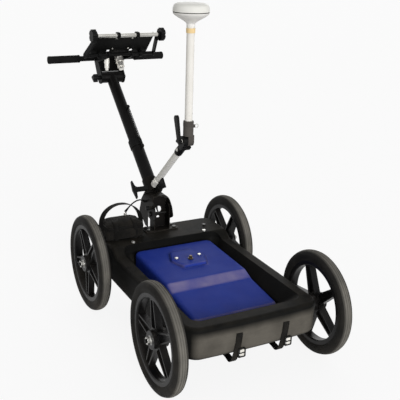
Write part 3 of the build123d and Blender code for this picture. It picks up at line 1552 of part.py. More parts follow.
# Battery bag on the rear left of the deck
bag_y = tub_back_y - bag_from_back - bag_l / 2
bag_mid_x = bag_side_gap + bag_w / 2 - tub_side
bag_top_z = deck_z + bag_h
with BuildPart() as battery_bag:
    with BuildSketch(Plane.XY.offset(deck_z)):
        with Locations((bag_mid_x, bag_y)):
            RectangleRounded(bag_w, bag_l, bag_edge_r)
    extrude(amount=bag_h)
    fillet(battery_bag.faces().sort_by(Axis.Z)[-1].edges(), bag_edge_r)
    with BuildSketch(Plane.XY.offset(deck_z + bag_wall)):
        with Locations((bag_mid_x, bag_y)):
            RectangleRounded(bag_w - 2 * bag_wall, bag_l - 2 * bag_wall, bag_edge_r - bag_wall)
    extrude(amount=bag_h - 2 * bag_wall - bag_edge_r / 2, mode=Mode.SUBTRACT)
save(battery_bag.part, "battery_bag")

battery_inset = 2 * (bag_wall + battery_gap)
with BuildPart() as battery_pack:
    with BuildSketch(Plane.XY.offset(deck_z + bag_wall)):
        with Locations((bag_mid_x, bag_y)):
            Rectangle(bag_w - battery_inset, bag_l - battery_inset)
    extrude(amount=bag_h - battery_inset - bag_edge_r / 2)
    fillet(battery_pack.edges().filter_by(Axis.Z), battery_gap / 2)
save(battery_pack.part, "battery_pack")

handle_half = bag_w / 2 + handle_t / 2
with BuildPart() as bag_strap:
    with BuildSketch(Plane.XZ.offset(-bag_y)):
        with BuildLine():
            FilletPolyline(
                (bag_mid_x - handle_half, bag_top_z - bag_edge_r - handle_root),
                (bag_mid_x - handle_half, bag_top_z + handle_rise),
                (bag_mid_x + handle_half, bag_top_z + handle_rise),
                (bag_mid_x + handle_half, bag_top_z - bag_edge_r - handle_root),
                radius=handle_r,
            )
        trace(line_width=handle_t)
    extrude(amount=handle_w / 2, both=True)
save(bag_strap.part, "bag_strap")

# Power lead and its plug on the bag
plug_place = (bag_mid_x + bag_w / 2 - lead_plug_in, tub_back_y - lead_plug_back)
lead_start = Vector(*plug_place, bag_top_z + lead_plug_h)
lead_end = Vector(-hood_w / 2 - lead_d / 2, pivot_y + lead_gland_back, pivot_z + lead_gland_rise)
lead_way = lead_end - lead_start
lead_route = []
for i in range(lead_runs + 1):
    part_way = i / lead_runs
    share = part_way - lead_ease * sin(2 * pi * part_way)
    arch = 4 * lead_arch * share * (1 - share)
    lead_route.append(
        Vector(
            lead_start.X + share * lead_way.X,
            lead_start.Y + share**2 * lead_way.Y,
            lead_start.Z + share * lead_way.Z + arch,
        )
    )


def bend_radii(route):
    """Bend radius at each inner point: tangent arcs that use a share of the shorter run beside it."""
    radii = []
    for before, here, after in zip(route, route[1:], route[2:]):
        turn = radians((here - before).get_angle(after - here))
        shorter = min((here - before).length, (after - here).length)
        radii.append(lead_bend * shorter / tan(turn / 2))
    return radii


lead_radii = bend_radii(lead_route)
print("power_lead radii", [round(r, 1) for r in lead_radii])
with BuildPart() as power_lead:
    with BuildLine() as lead_path:
        FilletPolyline(*lead_route, radius=lead_radii)
    with BuildSketch(Plane(origin=lead_path.line @ 0, z_dir=lead_path.line % 0)):
        Circle(lead_d / 2)
    sweep(path=lead_path.line)
save(power_lead.part, "power_lead")

with BuildPart() as lead_plug:
    with BuildSketch(Plane.XY.offset(bag_top_z)):
        with Locations(plug_place):
            Circle(lead_plug_d / 2)
    extrude(amount=lead_plug_h - lead_d / 2)
    fillet(lead_plug.faces().sort_by(Axis.Z)[-1].edges(), lead_d / 3)
save(lead_plug.part, "lead_plug")

# Bolts of the deck, the hinge bracket, the axle plates and the slings
with BuildPart() as cart_bolts:
    for places, seat in ((deck_bolts, deck_z), (foot_bolts, deck_z + foot_t)):
        with BuildSketch(Plane.XY.offset(seat)):
            with Locations(*places):
                Circle(bolt_head_d / 2)
        extrude(amount=bolt_head_h)
        with BuildSketch(Plane.XY.offset(seat)):
            with Locations(*places):
                Circle(bolt_d / 2)
        extrude(amount=-(seat - deck_z) - bolt_grip)
    for side in (1, -1):
        with BuildSketch(Plane.YZ.offset(side * (tub_side + axle_plate_t))):
            with Locations(*plate_bolts):
                Circle(small_head_d / 2)
        extrude(amount=side * small_head_h)
        with BuildSketch(Plane.YZ.offset(side * (tub_side + axle_plate_t))):
            with Locations(*plate_bolts):
                Circle(small_bolt_d / 2)
        extrude(amount=-side * bolt_grip)
save(cart_bolts.part, "cart_bolts")
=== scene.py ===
import bpy
import numpy as np
from mathutils import Matrix, Vector


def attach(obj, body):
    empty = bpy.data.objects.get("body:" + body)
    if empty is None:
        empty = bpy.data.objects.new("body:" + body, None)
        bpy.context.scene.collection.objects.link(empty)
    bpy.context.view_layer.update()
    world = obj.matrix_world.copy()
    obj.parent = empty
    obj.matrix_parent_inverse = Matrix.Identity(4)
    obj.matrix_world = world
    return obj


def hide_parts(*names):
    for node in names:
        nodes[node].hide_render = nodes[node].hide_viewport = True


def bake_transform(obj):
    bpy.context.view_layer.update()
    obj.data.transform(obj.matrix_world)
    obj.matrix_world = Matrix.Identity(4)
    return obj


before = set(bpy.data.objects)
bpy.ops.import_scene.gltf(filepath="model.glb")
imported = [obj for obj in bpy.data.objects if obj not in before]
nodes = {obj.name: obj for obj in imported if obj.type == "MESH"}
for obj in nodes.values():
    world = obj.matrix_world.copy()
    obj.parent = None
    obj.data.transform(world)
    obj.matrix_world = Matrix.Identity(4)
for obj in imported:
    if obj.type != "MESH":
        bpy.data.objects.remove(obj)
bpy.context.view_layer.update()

scene = bpy.context.scene
scene.view_settings.view_transform = "Standard"

cameraSet = {"place": (-1.243, -2.55885, 1.469), "yaw": 28.09, "pitch": 19.35, "roll": 1.76, "lens": 65.97}


def makeCamera(s):
    # yaw turns the view from +Y towards +X, pitch lowers it, roll tips it clockwise
    yaw, pitch, roll = np.radians([s["yaw"], s["pitch"], s["roll"]])
    look = np.array([np.sin(yaw) * np.cos(pitch), np.cos(yaw) * np.cos(pitch), -np.sin(pitch)])
    level = np.array([np.cos(yaw), -np.sin(yaw), 0.0])
    over = np.cross(level, look)
    right = np.cos(roll) * level + np.sin(roll) * over
    up = np.cos(roll) * over - np.sin(roll) * level
    pose = np.eye(4)
    pose[:3] = np.column_stack([right, up, -look, s["place"]])
    data = bpy.data.cameras.new("camera")
    data.lens = s["lens"]
    data.sensor_width = 36.0
    camera = bpy.data.objects.new("camera", data)
    camera.matrix_world = Matrix(pose.tolist())
    scene.collection.objects.link(camera)
    scene.camera = camera


makeCamera(cameraSet)
print("camera placed")


# mesh helpers

def gridFaces(rows, cols, loopClosed, first):
    # corner numbers of the quads between neighbouring rows and columns of one grid
    i = np.arange(rows if loopClosed else rows - 1)[:, None]
    j = np.arange(cols)[None, :]
    iNext, jNext = (i + 1) % rows, (j + 1) % cols
    corners = [i * cols + j, i * cols + jNext, iNext * cols + jNext, iNext * cols + j]
    quads = first + np.stack([c + 0 * i + 0 * j for c in corners], -1).reshape(-1, 4)
    turns = ((0, 0), (1, 0), (1, 1), (0, 1))
    steps = np.stack([np.stack(np.broadcast_arrays(j + dj, i + di), -1) for dj, di in turns], 2)
    return quads, steps.reshape(-1, 4, 2).astype(float)


def signedVolume(points, quads):
    # six times the volume inside, from the pyramids between the origin and each half quad
    a, b, c, d = (points[quads[:, k]] for k in range(4))
    return np.sum(a * np.cross(b, c)) + np.sum(a * np.cross(c, d))


def surfacePiece(name, grids, material, loopClosed=False, uvSize=None):
    # each grid holds rows of points along its path and columns round its section; open ends get a face each
    # uvSize gives width and length in metres, so that a weave has its real pitch
    points, faces, uvs, first = [], [], [], 0
    for grid in grids if isinstance(grids, list) else [grids]:
        rows, cols = grid.shape[:2]
        flat = grid.reshape(-1, 3)
        quads, steps = gridFaces(rows, cols, loopClosed, first)
        width, length = uvSize or (1.0, 1.0)
        steps = steps * (width / cols, length / max(rows - 1, 1))
        ends = [first + np.arange(cols)[::-1], first + (rows - 1) * cols + np.arange(cols)]
        caps = [] if loopClosed else ends
        middle = flat.mean(0)
        if signedVolume(flat - middle, quads - first) < 0:
            quads, steps, caps = quads[:, ::-1], steps[:, ::-1], [c[::-1] for c in caps]
        points.append(flat)
        faces += quads.tolist() + [c.tolist() for c in caps]
        uvs += [steps.reshape(-1, 2)] + [np.zeros((len(c), 2)) for c in caps]
        first += len(flat)
    mesh = bpy.data.meshes.new(name)
    mesh.from_pydata(np.concatenate(points), [], faces)
    layer = mesh.uv_layers.new(name="flat")
    layer.data.foreach_set("uv", np.concatenate(uvs).astype(np.float32).ravel())
    mesh.polygons.foreach_set("use_smooth", np.ones(len(mesh.polygons), bool))
    mesh.set_sharp_from_angle(angle=np.radians(40))
    mesh.materials.append(material)
    piece = bpy.data.objects.new(name, mesh)
    scene.collection.objects.link(piece)
    return piece


def unit(v):
    # each vector over its own length
    return v / np.linalg.norm(v, axis=-1, keepdims=True)


def carry(path, section, ref, scale=None):
    # a section point (a, b) goes to the path plus a along its side and b along its top; side is tangent x ref
    tangent = unit(np.gradient(path, axis=0))
    side = unit(np.cross(tangent, ref))
    top = np.cross(side, tangent)
    scale = np.ones(len(path)) if scale is None else scale
    a, b = section[None, :, :1], section[None, :, 1:]
    return path[:, None] + scale[:, None, None] * (a * side[:, None] + b * top[:, None])


def roundSection(radius, count=16):
    # points of a circle: the radius times cosine and sine
    angle = np.linspace(0, 2 * np.pi, count, endpoint=False)
    return radius * np.column_stack([np.cos(angle), np.sin(angle)])


def signedPower(value, power):
    # the size is raised to the power, the sign is kept
    return np.sign(value) * np.abs(value) ** power


def squareSection(width, height, power, count=32):
    # superellipse: cosine and sine raised to 2 / power, so a large power gives a box with soft corners
    angle = np.linspace(0, 2 * np.pi, count, endpoint=False)
    return np.column_stack([
        width / 2 * signedPower(np.cos(angle), 2 / power),
        height / 2 * signedPower(np.sin(angle), 2 / power),
    ])


def throughPoints(points, count):
    # Catmull-Rom line: each span is a cubic whose slope at a point is half the step between its neighbours
    p = np.asarray(points, float)
    t = np.linspace(0, len(p) - 1, count)
    k = np.clip(t.astype(int), 0, len(p) - 2)
    f = (t - k)[:, None]
    p0, p1, p2, p3 = (p[np.clip(k + o, 0, len(p) - 1)] for o in (-1, 0, 1, 2))
    return p1 + 0.5 * f * (p2 - p0 + f * (2 * p0 - 5 * p1 + 4 * p2 - p3 + f * (3 * (p1 - p2) + p3 - p0)))


def turned(centre, axis, along, radius, count):
    # radius and place along the axis for each row, turned through a full circle of columns
    axis = unit(np.asarray(axis, float))
    ref = np.array([0.0, 0.0, 1.0]) if abs(axis[2]) < 0.9 else np.array([1.0, 0.0, 0.0])
    side = unit(np.cross(axis, ref))
    top = np.cross(axis, side)
    angle = np.linspace(0, 2 * np.pi, count, endpoint=False)
    ring = np.cos(angle)[:, None] * side + np.sin(angle)[:, None] * top
    along, radius = np.asarray(along)[:, None, None], np.asarray(radius)[:, None, None]
    return np.asarray(centre) + along * axis + radius * ring[None]


def nurbsLine(name, points):
    # the smooth line of a NURBS curve of order 3 whose control points are the route
    curve = bpy.data.curves.new(name, "CURVE")
    curve.dimensions = "3D"
    curve.resolution_u = 8
    spline = curve.splines.new("NURBS")
    spline.points.add(len(points) - 1)
    spline.points.foreach_set("co", np.column_stack([points, np.ones(len(points))]).ravel())
    spline.order_u = 3
    spline.use_endpoint_u = True
    holder = bpy.data.objects.new(name, curve)
    line = bpy.data.meshes.new_from_object(holder)
    places = np.zeros(len(line.vertices) * 3)
    line.vertices.foreach_get("co", places)
    bpy.data.objects.remove(holder)
    bpy.data.meshes.remove(line)
    bpy.data.curves.remove(curve)
    return places.reshape(-1, 3)


# shader helpers

def paint(r, g, b):
    # screen colour, 0 to 255, as the linear colour that a shader takes
    c = np.array([r, g, b]) / 255
    return (*np.where(c <= 0.04045, c / 12.92, ((c + 0.055) / 1.055) ** 2.4).tolist(), 1.0)


def put(tree, kind, sockets=None, **settings):
    # one node with its settings; each socket takes a link or a plain value
    made = tree.nodes.new("ShaderNode" + kind)
    for key, value in settings.items():
        setattr(made, key, value)
    for key, value in (sockets or {}).items():
        if isinstance(value, bpy.types.NodeSocket):
            tree.links.new(value, made.inputs[key])
        else:
            made.inputs[key].default_value = value
    return made


def maths(tree, operation, *values, clamp=False):
    # one Math node over the values
    return put(tree, "Math", dict(enumerate(values)), operation=operation, use_clamp=clamp).outputs[0]


def mixColour(tree, factor, a, b):
    # a where the factor is 0, b where it is 1
    return put(tree, "Mix", {0: factor, 6: a, 7: b}, data_type="RGBA").outputs[2]


def remap(tree, value, fromLow, fromHigh, toLow=0.0, toHigh=1.0):
    # a straight line from one span to the other, held at its ends
    spans = {"Value": value, "From Min": fromLow, "From Max": fromHigh, "To Min": toLow, "To Max": toHigh}
    return put(tree, "MapRange", spans).outputs[0]


def newGroup(name, inputs, outputs):
    # empty node group with plain number inputs and the named outputs
    group = bpy.data.node_groups.new(name, "ShaderNodeTree")
    for label, value in inputs.items():
        group.interface.new_socket(label, in_out="INPUT", socket_type="NodeSocketFloat").default_value = value
    for label, kind in outputs.items():
        group.interface.new_socket(label, in_out="OUTPUT", socket_type="NodeSocket" + kind)
    return group, group.nodes.new("NodeGroupInput").outputs, group.nodes.new("NodeGroupOutput").inputs


def makeEdgeWear():
    # rubbed edges: where the rounded normal leaves the flat one, broken up by noise
    group, given, out = newGroup("edgeWear", {"Radius": 0.001, "Gain": 4.0, "Patch": 90.0},
                                 {"Mask": "Float", "Normal": "Vector"})
    rounded = put(group, "Bevel", {"Radius": given["Radius"]}, samples=6).outputs[0]
    plain = put(group, "NewGeometry").outputs["Normal"]
    match = put(group, "VectorMath", {0: rounded, 1: plain}, operation="DOT_PRODUCT").outputs["Value"]
    edge = maths(group, "MULTIPLY", maths(group, "SUBTRACT", 1.0, match), given["Gain"], clamp=True)
    place = put(group, "TexCoord").outputs["Object"]
    noise = put(group, "TexNoise", {"Vector": place, "Scale": given["Patch"], "Detail": 5.0}).outputs[0]
    group.links.new(maths(group, "MULTIPLY", edge, remap(group, noise, 0.4, 0.64)), out["Mask"])
    group.links.new(rounded, out["Normal"])
    return group


def makeGrain():
    # moulded grain: fine noise over small cells, with a slow change of tone
    group, given, out = newGroup("grain", {"Scale": 900.0}, {"Height": "Float", "Tone": "Float"})
    place = put(group, "TexCoord").outputs["Object"]
    fine = put(group, "TexNoise", {"Vector": place, "Scale": given["Scale"], "Detail": 3.0}).outputs[0]
    cells = put(group, "TexVoronoi", {"Vector": place, "Scale": given["Scale"]}).outputs["Distance"]
    slowScale = maths(group, "MULTIPLY", given["Scale"], 0.012)
    slow = put(group, "TexNoise", {"Vector": place, "Scale": slowScale, "Detail": 5.0}).outputs[0]
    height = maths(group, "ADD", maths(group, "MULTIPLY", fine, 0.6), maths(group, "MULTIPLY", cells, 0.4))
    group.links.new(height, out["Height"])
    group.links.new(remap(group, slow, 0.35, 0.65), out["Tone"])
    return group


def makeDust():
    # dust lies low on the cart and on faces that look up, in patches
    group, given, out = newGroup("dust", {"Top": 0.3, "Amount": 0.3}, {"Mask": "Float"})
    place = put(group, "TexCoord").outputs["Object"]
    height = put(group, "SeparateXYZ", {0: place}).outputs["Z"]
    low = maths(group, "SUBTRACT", 1.0, maths(group, "DIVIDE", height, given["Top"]), clamp=True)
    facing = put(group, "SeparateXYZ", {0: put(group, "NewGeometry").outputs["Normal"]}).outputs["Z"]
    lying = remap(group, facing, 0.4, 1.0, 0.0, 0.5)
    patch = put(group, "TexNoise", {"Vector": place, "Scale": 16.0, "Detail": 7.0}).outputs[0]
    heap = maths(group, "MULTIPLY", maths(group, "ADD", low, lying), remap(group, patch, 0.32, 0.7))
    group.links.new(maths(group, "MULTIPLY", heap, given["Amount"], clamp=True), out["Mask"])
    return group


def makeWeave():
    # flat weave on the piece's own UV in metres: crossed sines, alternate threads up
    group, given, out = newGroup("weave", {"Pitch": 0.002}, {"Height": "Float", "Tone": "Float"})
    place = put(group, "SeparateXYZ", {0: put(group, "TexCoord").outputs["UV"]})
    turn = maths(group, "DIVIDE", 2 * np.pi, given["Pitch"])
    across = maths(group, "SINE", maths(group, "MULTIPLY", place.outputs["X"], turn))
    along = maths(group, "SINE", maths(group, "MULTIPLY", place.outputs["Y"], turn))
    crossed = maths(group, "MULTIPLY", across, along)
    ribbed = maths(group, "ADD", maths(group, "MULTIPLY", crossed, 0.7),
                   maths(group, "MULTIPLY", across, 0.3))
    group.links.new(remap(group, ribbed, -1.0, 1.0), out["Height"])
    spot = put(group, "TexCoord").outputs["Object"]
    worn = put(group, "TexNoise", {"Vector": spot, "Scale": 60.0, "Detail": 4.0}).outputs[0]
    group.links.new(remap(group, worn, 0.35, 0.7), out["Tone"])
    return group


def makeCloth():
    # woven cloth on any face: three crossed sine products of the place, with slow fading
    group, given, out = newGroup("cloth", {"Pitch": 0.0016}, {"Height": "Float", "Tone": "Float"})
    place = put(group, "TexCoord").outputs["Object"]
    turn = maths(group, "DIVIDE", 2 * np.pi, given["Pitch"])
    scaled = put(group, "VectorMath", {0: place, "Scale": turn}, operation="SCALE").outputs["Vector"]
    sines = put(group, "VectorMath", {0: scaled}, operation="SINE").outputs["Vector"]
    cosines = put(group, "VectorMath", {0: scaled}, operation="COSINE").outputs["Vector"]
    wave, shift = (put(group, "SeparateXYZ", {0: v}).outputs for v in (sines, cosines))
    products = [maths(group, "MULTIPLY", wave[a], shift[b]) for a, b in ((0, 1), (1, 2), (2, 0))]
    total = maths(group, "ADD", maths(group, "ADD", products[0], products[1]), products[2])
    group.links.new(remap(group, total, -1.5, 1.5), out["Height"])
    faded = put(group, "TexNoise", {"Vector": place, "Scale": 22.0, "Detail": 6.0}).outputs[0]
    group.links.new(remap(group, faded, 0.32, 0.7), out["Tone"])
    return group


def makeBrush():
    # brushed metal: noise drawn out along X
    group, given, out = newGroup("brush", {"Fine": 2600.0}, {"Tone": "Float"})
    place = put(group, "TexCoord").outputs["Object"]
    drawn = put(group, "Mapping", {"Vector": place, "Scale": (0.02, 1.0, 1.0)}).outputs[0]
    noise = put(group, "TexNoise", {"Vector": drawn, "Scale": given["Fine"], "Detail": 4.0}).outputs[0]
    group.links.new(remap(group, noise, 0.3, 0.7), out["Tone"])
    return group


def makePaintedFrontLight():
    # painted light: a paler colour on faces that look forwards, towards the sun, broken into level streaks by
    # noise drawn out along X, over broad patches the forward tilt, softened at the edges, rises from Begin to
    # Full and is gone past End; none just under Top, which paints the shade under a rolled rim
    inputs = {"Begin": 0.6, "Full": 0.95, "End": 2.0, "Behind": 1.0, "Soft": 0.001, "Low": 0.6, "Top": 9.0}
    group, given, out = newGroup("paintedFrontLight", inputs, {"Mask": "Float"})
    softened = put(group, "Bevel", {"Radius": given["Soft"]}, samples=6).outputs[0]
    forward = maths(group, "MULTIPLY", put(group, "SeparateXYZ", {0: softened}).outputs["Y"], -1.0)
    past = maths(group, "SUBTRACT", forward, given["End"])
    facing = remap(group, forward, given["Begin"], given["Full"])
    facing = maths(group, "MULTIPLY", facing, remap(group, past, 0.0, 0.2, 1.0, 0.0))
    place = put(group, "TexCoord").outputs["Object"]
    spot = put(group, "SeparateXYZ", {0: place}).outputs
    facing = maths(group, "MULTIPLY", facing, remap(group, spot["Y"], -0.6, -0.4, 1.0, given["Behind"]))
    under = maths(group, "SUBTRACT", given["Top"], spot["Z"])
    facing = maths(group, "MULTIPLY", facing, remap(group, under, 0.014, 0.042, 0.0, 1.0))
    drawn = put(group, "Mapping", {"Vector": place, "Scale": (0.06, 1.0, 1.0)}).outputs[0]
    lines = put(group, "TexNoise", {"Vector": drawn, "Scale": 420.0, "Detail": 4.0}).outputs[0]
    patch = put(group, "TexNoise", {"Vector": place, "Scale": 9.0, "Detail": 4.0}).outputs[0]
    streaks = remap(group, lines, 0.3, 0.65, 0.9, 1.0)
    patches = remap(group, patch, 0.3, 0.6, given["Low"], 1.0)
    group.links.new(maths(group, "MULTIPLY", facing, maths(group, "MULTIPLY", streaks, patches)),
                    out["Mask"])
    return group


edgeWear, grain, dust, paintedFrontLight = makeEdgeWear(), makeGrain(), makeDust(), makePaintedFrontLight()
weave, cloth, brush = makeWeave(), makeCloth(), makeBrush()
dustColour = paint(134, 124, 110)
roughSpread = 0.08


def newFinish(name):
    # new material and its shader
    material = bpy.data.materials.new(name)
    material.use_nodes = True
    return material, material.node_tree, material.node_tree.nodes["Principled BSDF"]


def useGroup(tree, group, **values):
    # the group, placed in a material with its own values
    made = put(tree, "Group", node_tree=group)
    for key, value in values.items():
        made.inputs[key].default_value = value
    return made.outputs


def hardFinish(name, base, tone, worn, rough, metallic=0.0, grainScale=1100.0, depth=0.00012,
               edge=0.0009, gain=2.0, dustTop=0.3, dustAmount=0.0, brushed=0.0, level=0.04, litFrontPaint=None):
    # base to tone over the slow noise, worn on the edges, which on the antenna cover is a painted edge
    # highlight, dusty low down; roughness and bump from the grain
    # last argument: painted light, a paler colour for faces that look forwards, and the group's values
    material, tree, shader = newFinish(name)
    wear = useGroup(tree, edgeWear, Radius=edge, Gain=gain)
    skin = useGroup(tree, grain, Scale=grainScale)
    colour = mixColour(tree, skin["Tone"], paint(*base), paint(*tone))
    colour = mixColour(tree, wear["Mask"], colour, paint(*worn))
    roughness = remap(tree, skin["Height"], 0.2, 0.8, rough - roughSpread, rough + roughSpread)
    if brushed:
        lines = useGroup(tree, brush)["Tone"]
        roughness = remap(tree, lines, 0.0, 1.0, rough - brushed, rough + brushed)
    if dustAmount:
        film = useGroup(tree, dust, Top=dustTop, Amount=dustAmount)["Mask"]
        colour = mixColour(tree, film, colour, dustColour)
        roughness = maths(tree, "ADD", roughness, maths(tree, "MULTIPLY", film, 0.4), clamp=True)
    if litFrontPaint:
        # painted light: the paler colour goes on faces that look forwards
        rubbed = useGroup(tree, paintedFrontLight, **litFrontPaint[1])["Mask"]
        colour = mixColour(tree, rubbed, colour, paint(*litFrontPaint[0]))
    sockets = {"Strength": 0.6, "Distance": depth, "Height": skin["Height"], "Normal": wear["Normal"]}
    bump = put(tree, "Bump", sockets)
    tree.links.new(colour, shader.inputs["Base Color"])
    tree.links.new(roughness, shader.inputs["Roughness"])
    tree.links.new(bump.outputs[0], shader.inputs["Normal"])
    shader.inputs["Metallic"].default_value = metallic
    shader.inputs["Specular IOR Level"].default_value = level
    return material


def softFinish(name, group, pitch, base, tone, rough, depth, sheen=0.0, dustTop=0.3, dustAmount=0.0):
    # thread colours from the weave's height: low threads darkened to 0.55 of the base as painted shade
    # between threads; faded by its slow tone
    material, tree, shader = newFinish(name)
    threads = useGroup(tree, group, Pitch=pitch)
    colour = mixColour(tree, threads["Height"], paint(*(0.55 * c for c in base)), paint(*base))
    colour = mixColour(tree, maths(tree, "MULTIPLY", threads["Tone"], 0.6), colour, paint(*tone))
    if dustAmount:
        film = useGroup(tree, dust, Top=dustTop, Amount=dustAmount)["Mask"]
        colour = mixColour(tree, film, colour, dustColour)
    bump = put(tree, "Bump", {"Strength": 0.8, "Distance": depth, "Height": threads["Height"]})
    tree.links.new(colour, shader.inputs["Base Color"])
    tree.links.new(remap(tree, threads["Height"], 0.0, 1.0, rough + roughSpread, rough - roughSpread),
                   shader.inputs["Roughness"])
    tree.links.new(bump.outputs[0], shader.inputs["Normal"])
    shader.inputs["Sheen Weight"].default_value = sheen
    shader.inputs["Specular IOR Level"].default_value = 0.08
    return material


# tub: (94, 90, 83) is painted light on the faces that look forwards, and the wall's top band stays black as
# painted shade under the rim's roll
tubPlastic = hardFinish("tubPlastic", (15, 15, 14), (20, 20, 19), (56, 54, 51), 0.55, dustTop=0.24,
                        dustAmount=0.12, depth=0.0003, gain=0.8,
                        litFrontPaint=((94, 90, 83), {"Begin": 0.72, "Full": 0.97, "Behind": 0.35, "Low": 0.5,
                                              "Top": 0.265}))
hingeSteel = hardFinish("hingeSteel", (13, 12, 12), (18, 17, 17), (104, 100, 94), 0.42, gain=4.0, edge=0.0014,
                        dustAmount=0.06, dustTop=1.0)
blackSteel = hardFinish("blackSteel", (15, 15, 15), (20, 20, 20), (88, 86, 82), 0.4, gain=2.2)
columnPaint = hardFinish("columnPaint", (14, 13, 13), (18, 17, 17), (76, 74, 72), 0.36, gain=1.6, level=0.07)
blackPlastic = hardFinish("blackPlastic", (15, 15, 15), (21, 21, 21), (66, 65, 63), 0.42, gain=1.4,
                          level=0.07)
rimPlastic = hardFinish("rimPlastic", (19, 19, 20), (27, 27, 28), (84, 82, 80), 0.34, gain=1.4, dustTop=0.4,
                        dustAmount=0.08, level=0.12)
# antenna cover: the worn colour over a 16 mm rounding is a painted highlight on the lit edges, and (130, 122,
# 160) is painted light on the slope that faces forwards
blueShell = hardFinish("blueShell", (31, 52, 142), (37, 58, 149), (78, 108, 190), 0.46, depth=0.00025,
                       gain=0.7, edge=0.016, dustAmount=0.05,
                       litFrontPaint=((130, 122, 160), {"Begin": 0.2, "Full": 0.36, "End": 0.5, "Soft": 0.018,
                                                "Low": 0.35}))
skidPlastic = hardFinish("skidPlastic", (22, 22, 22), (34, 33, 32), (80, 78, 74), 0.6, dustTop=0.3,
                         dustAmount=0.3)
poleWhite = hardFinish("poleWhite", (229, 226, 220), (223, 220, 213), (200, 196, 188), 0.34, gain=0.8,
                       depth=0.00005)
armGrey = hardFinish("armGrey", (230, 228, 221), (222, 220, 212), (188, 186, 179), 0.38, gain=0.8,
                     depth=0.00005)
socketGrey = hardFinish("socketGrey", (82, 78, 74), (70, 67, 64), (126, 122, 116), 0.44, gain=1.6)
collarBeige = hardFinish("collarBeige", (232, 205, 154), (222, 194, 144), (200, 176, 132), 0.45, gain=0.8)
receiverWhite = hardFinish("receiverWhite", (224, 223, 217), (219, 218, 212), (204, 203, 197), 0.36, gain=0.6,
                           depth=0.00005)
receiverGrey = hardFinish("receiverGrey", (230, 228, 223), (223, 221, 216), (206, 204, 200), 0.4, gain=0.6,
                          depth=0.00005)
gasketRubber = hardFinish("gasketRubber", (38, 37, 36), (48, 47, 45), (64, 63, 61), 0.6)
gripFoam = hardFinish("gripFoam", (20, 20, 20), (28, 28, 28), (46, 45, 44), 0.8, grainScale=1900.0,
                      depth=0.0003)
zincSteel = hardFinish("zincSteel", (196, 195, 190), (170, 168, 162), (226, 225, 222), 0.34, metallic=1.0,
                       gain=3.0, depth=0.00004)
darkSteel = hardFinish("darkSteel", (46, 45, 44), (36, 36, 35), (120, 118, 114), 0.4, metallic=0.6, gain=3.0,
                       depth=0.00004)
brassSteel = hardFinish("brassSteel", (96, 84, 66), (70, 64, 56), (170, 152, 116), 0.36, metallic=0.9,
                        gain=3.0, depth=0.00004)
bearingSteel = hardFinish("bearingSteel", (120, 120, 120), (96, 96, 97), (190, 189, 187), 0.36, metallic=1.0,
                          gain=3.0)
silverBar = hardFinish("silverBar", (190, 189, 184), (164, 162, 156), (226, 226, 224), 0.24, metallic=1.0,
                       brushed=0.1, depth=0.00003)
plugNickel = hardFinish("plugNickel", (232, 230, 224), (212, 209, 203), (246, 246, 244), 0.32, metallic=0.85,
                        gain=3.0, depth=0.00004)
plateWhite = hardFinish("plateWhite", (226, 224, 216), (212, 209, 200), (180, 176, 168), 0.4, gain=1.0)
encoderMetal = hardFinish("encoderMetal", (160, 161, 163), (140, 141, 143), (200, 200, 200), 0.35,
                          metallic=1.0, brushed=0.1)
copperFoil = hardFinish("copperFoil", (196, 118, 84), (172, 98, 68), (222, 150, 116), 0.35, metallic=1.0)
boardGreen = hardFinish("boardGreen", (22, 74, 44), (28, 88, 52), (60, 110, 76), 0.45)
batteryCase = hardFinish("batteryCase", (52, 53, 56), (64, 65, 68), (110, 110, 112), 0.5)
traySheet = hardFinish("traySheet", (14, 14, 14), (19, 19, 18), (80, 78, 75), 0.46, gain=2.4)
cordRubber = hardFinish("cordRubber", (14, 14, 14), (21, 21, 20), (54, 53, 52), 0.5, grainScale=1400.0)
wheelRubber = hardFinish("wheelRubber", (24, 24, 23), (34, 33, 32), (60, 58, 56), 0.72, grainScale=1500.0,
                         depth=0.0002, dustTop=0.4, dustAmount=0.12)
bagCloth = softFinish("bagCloth", cloth, 0.0017, (17, 17, 16), (26, 25, 24), 0.86, 0.0005, sheen=0.03,
                      dustTop=0.7, dustAmount=0.08)
strapWebbing = softFinish("strapWebbing", weave, 0.0022, (18, 17, 16), (28, 27, 25), 0.8, 0.0006, sheen=0.03,
                          dustTop=0.3, dustAmount=0.1)


def ribbedRubber(name, share):
    # the tyre's UV runs round its profile, first over the tread: its middle is painted grey, worn rubber
    # together with a painted highlight of the lit tread, the walls stay dark
    material, tree, shader = newFinish(name)
    skin = useGroup(tree, grain, Scale=1500.0)
    film = useGroup(tree, dust, Top=0.45, Amount=0.1)["Mask"]
    across = put(tree, "SeparateXYZ", {0: put(tree, "TexCoord").outputs["UV"]}).outputs["X"]
    middle = maths(tree, "ABSOLUTE", maths(tree, "SUBTRACT", across, share / 2))
    treadWearAndHighlight = remap(tree, middle, 0.26 * share, 0.5 * share, 1.0, 0.0)
    wall = mixColour(tree, skin["Tone"], paint(28, 28, 27), paint(38, 37, 36))
    # worn grey: rubber wear together with a painted highlight of the tread lit from the front
    worn = mixColour(tree, skin["Tone"], paint(96, 94, 89), paint(112, 109, 103))
    colour = mixColour(tree, film, mixColour(tree, treadWearAndHighlight, wall, worn), dustColour)
    bump = put(tree, "Bump", {"Strength": 0.6, "Distance": 0.0002, "Height": skin["Height"]})
    tree.links.new(colour, shader.inputs["Base Color"])
    tree.links.new(remap(tree, skin["Height"], 0.2, 0.8, 0.6, 0.8), shader.inputs["Roughness"])
    tree.links.new(bump.outputs[0], shader.inputs["Normal"])
    shader.inputs["Specular IOR Level"].default_value = 0.08
    return material


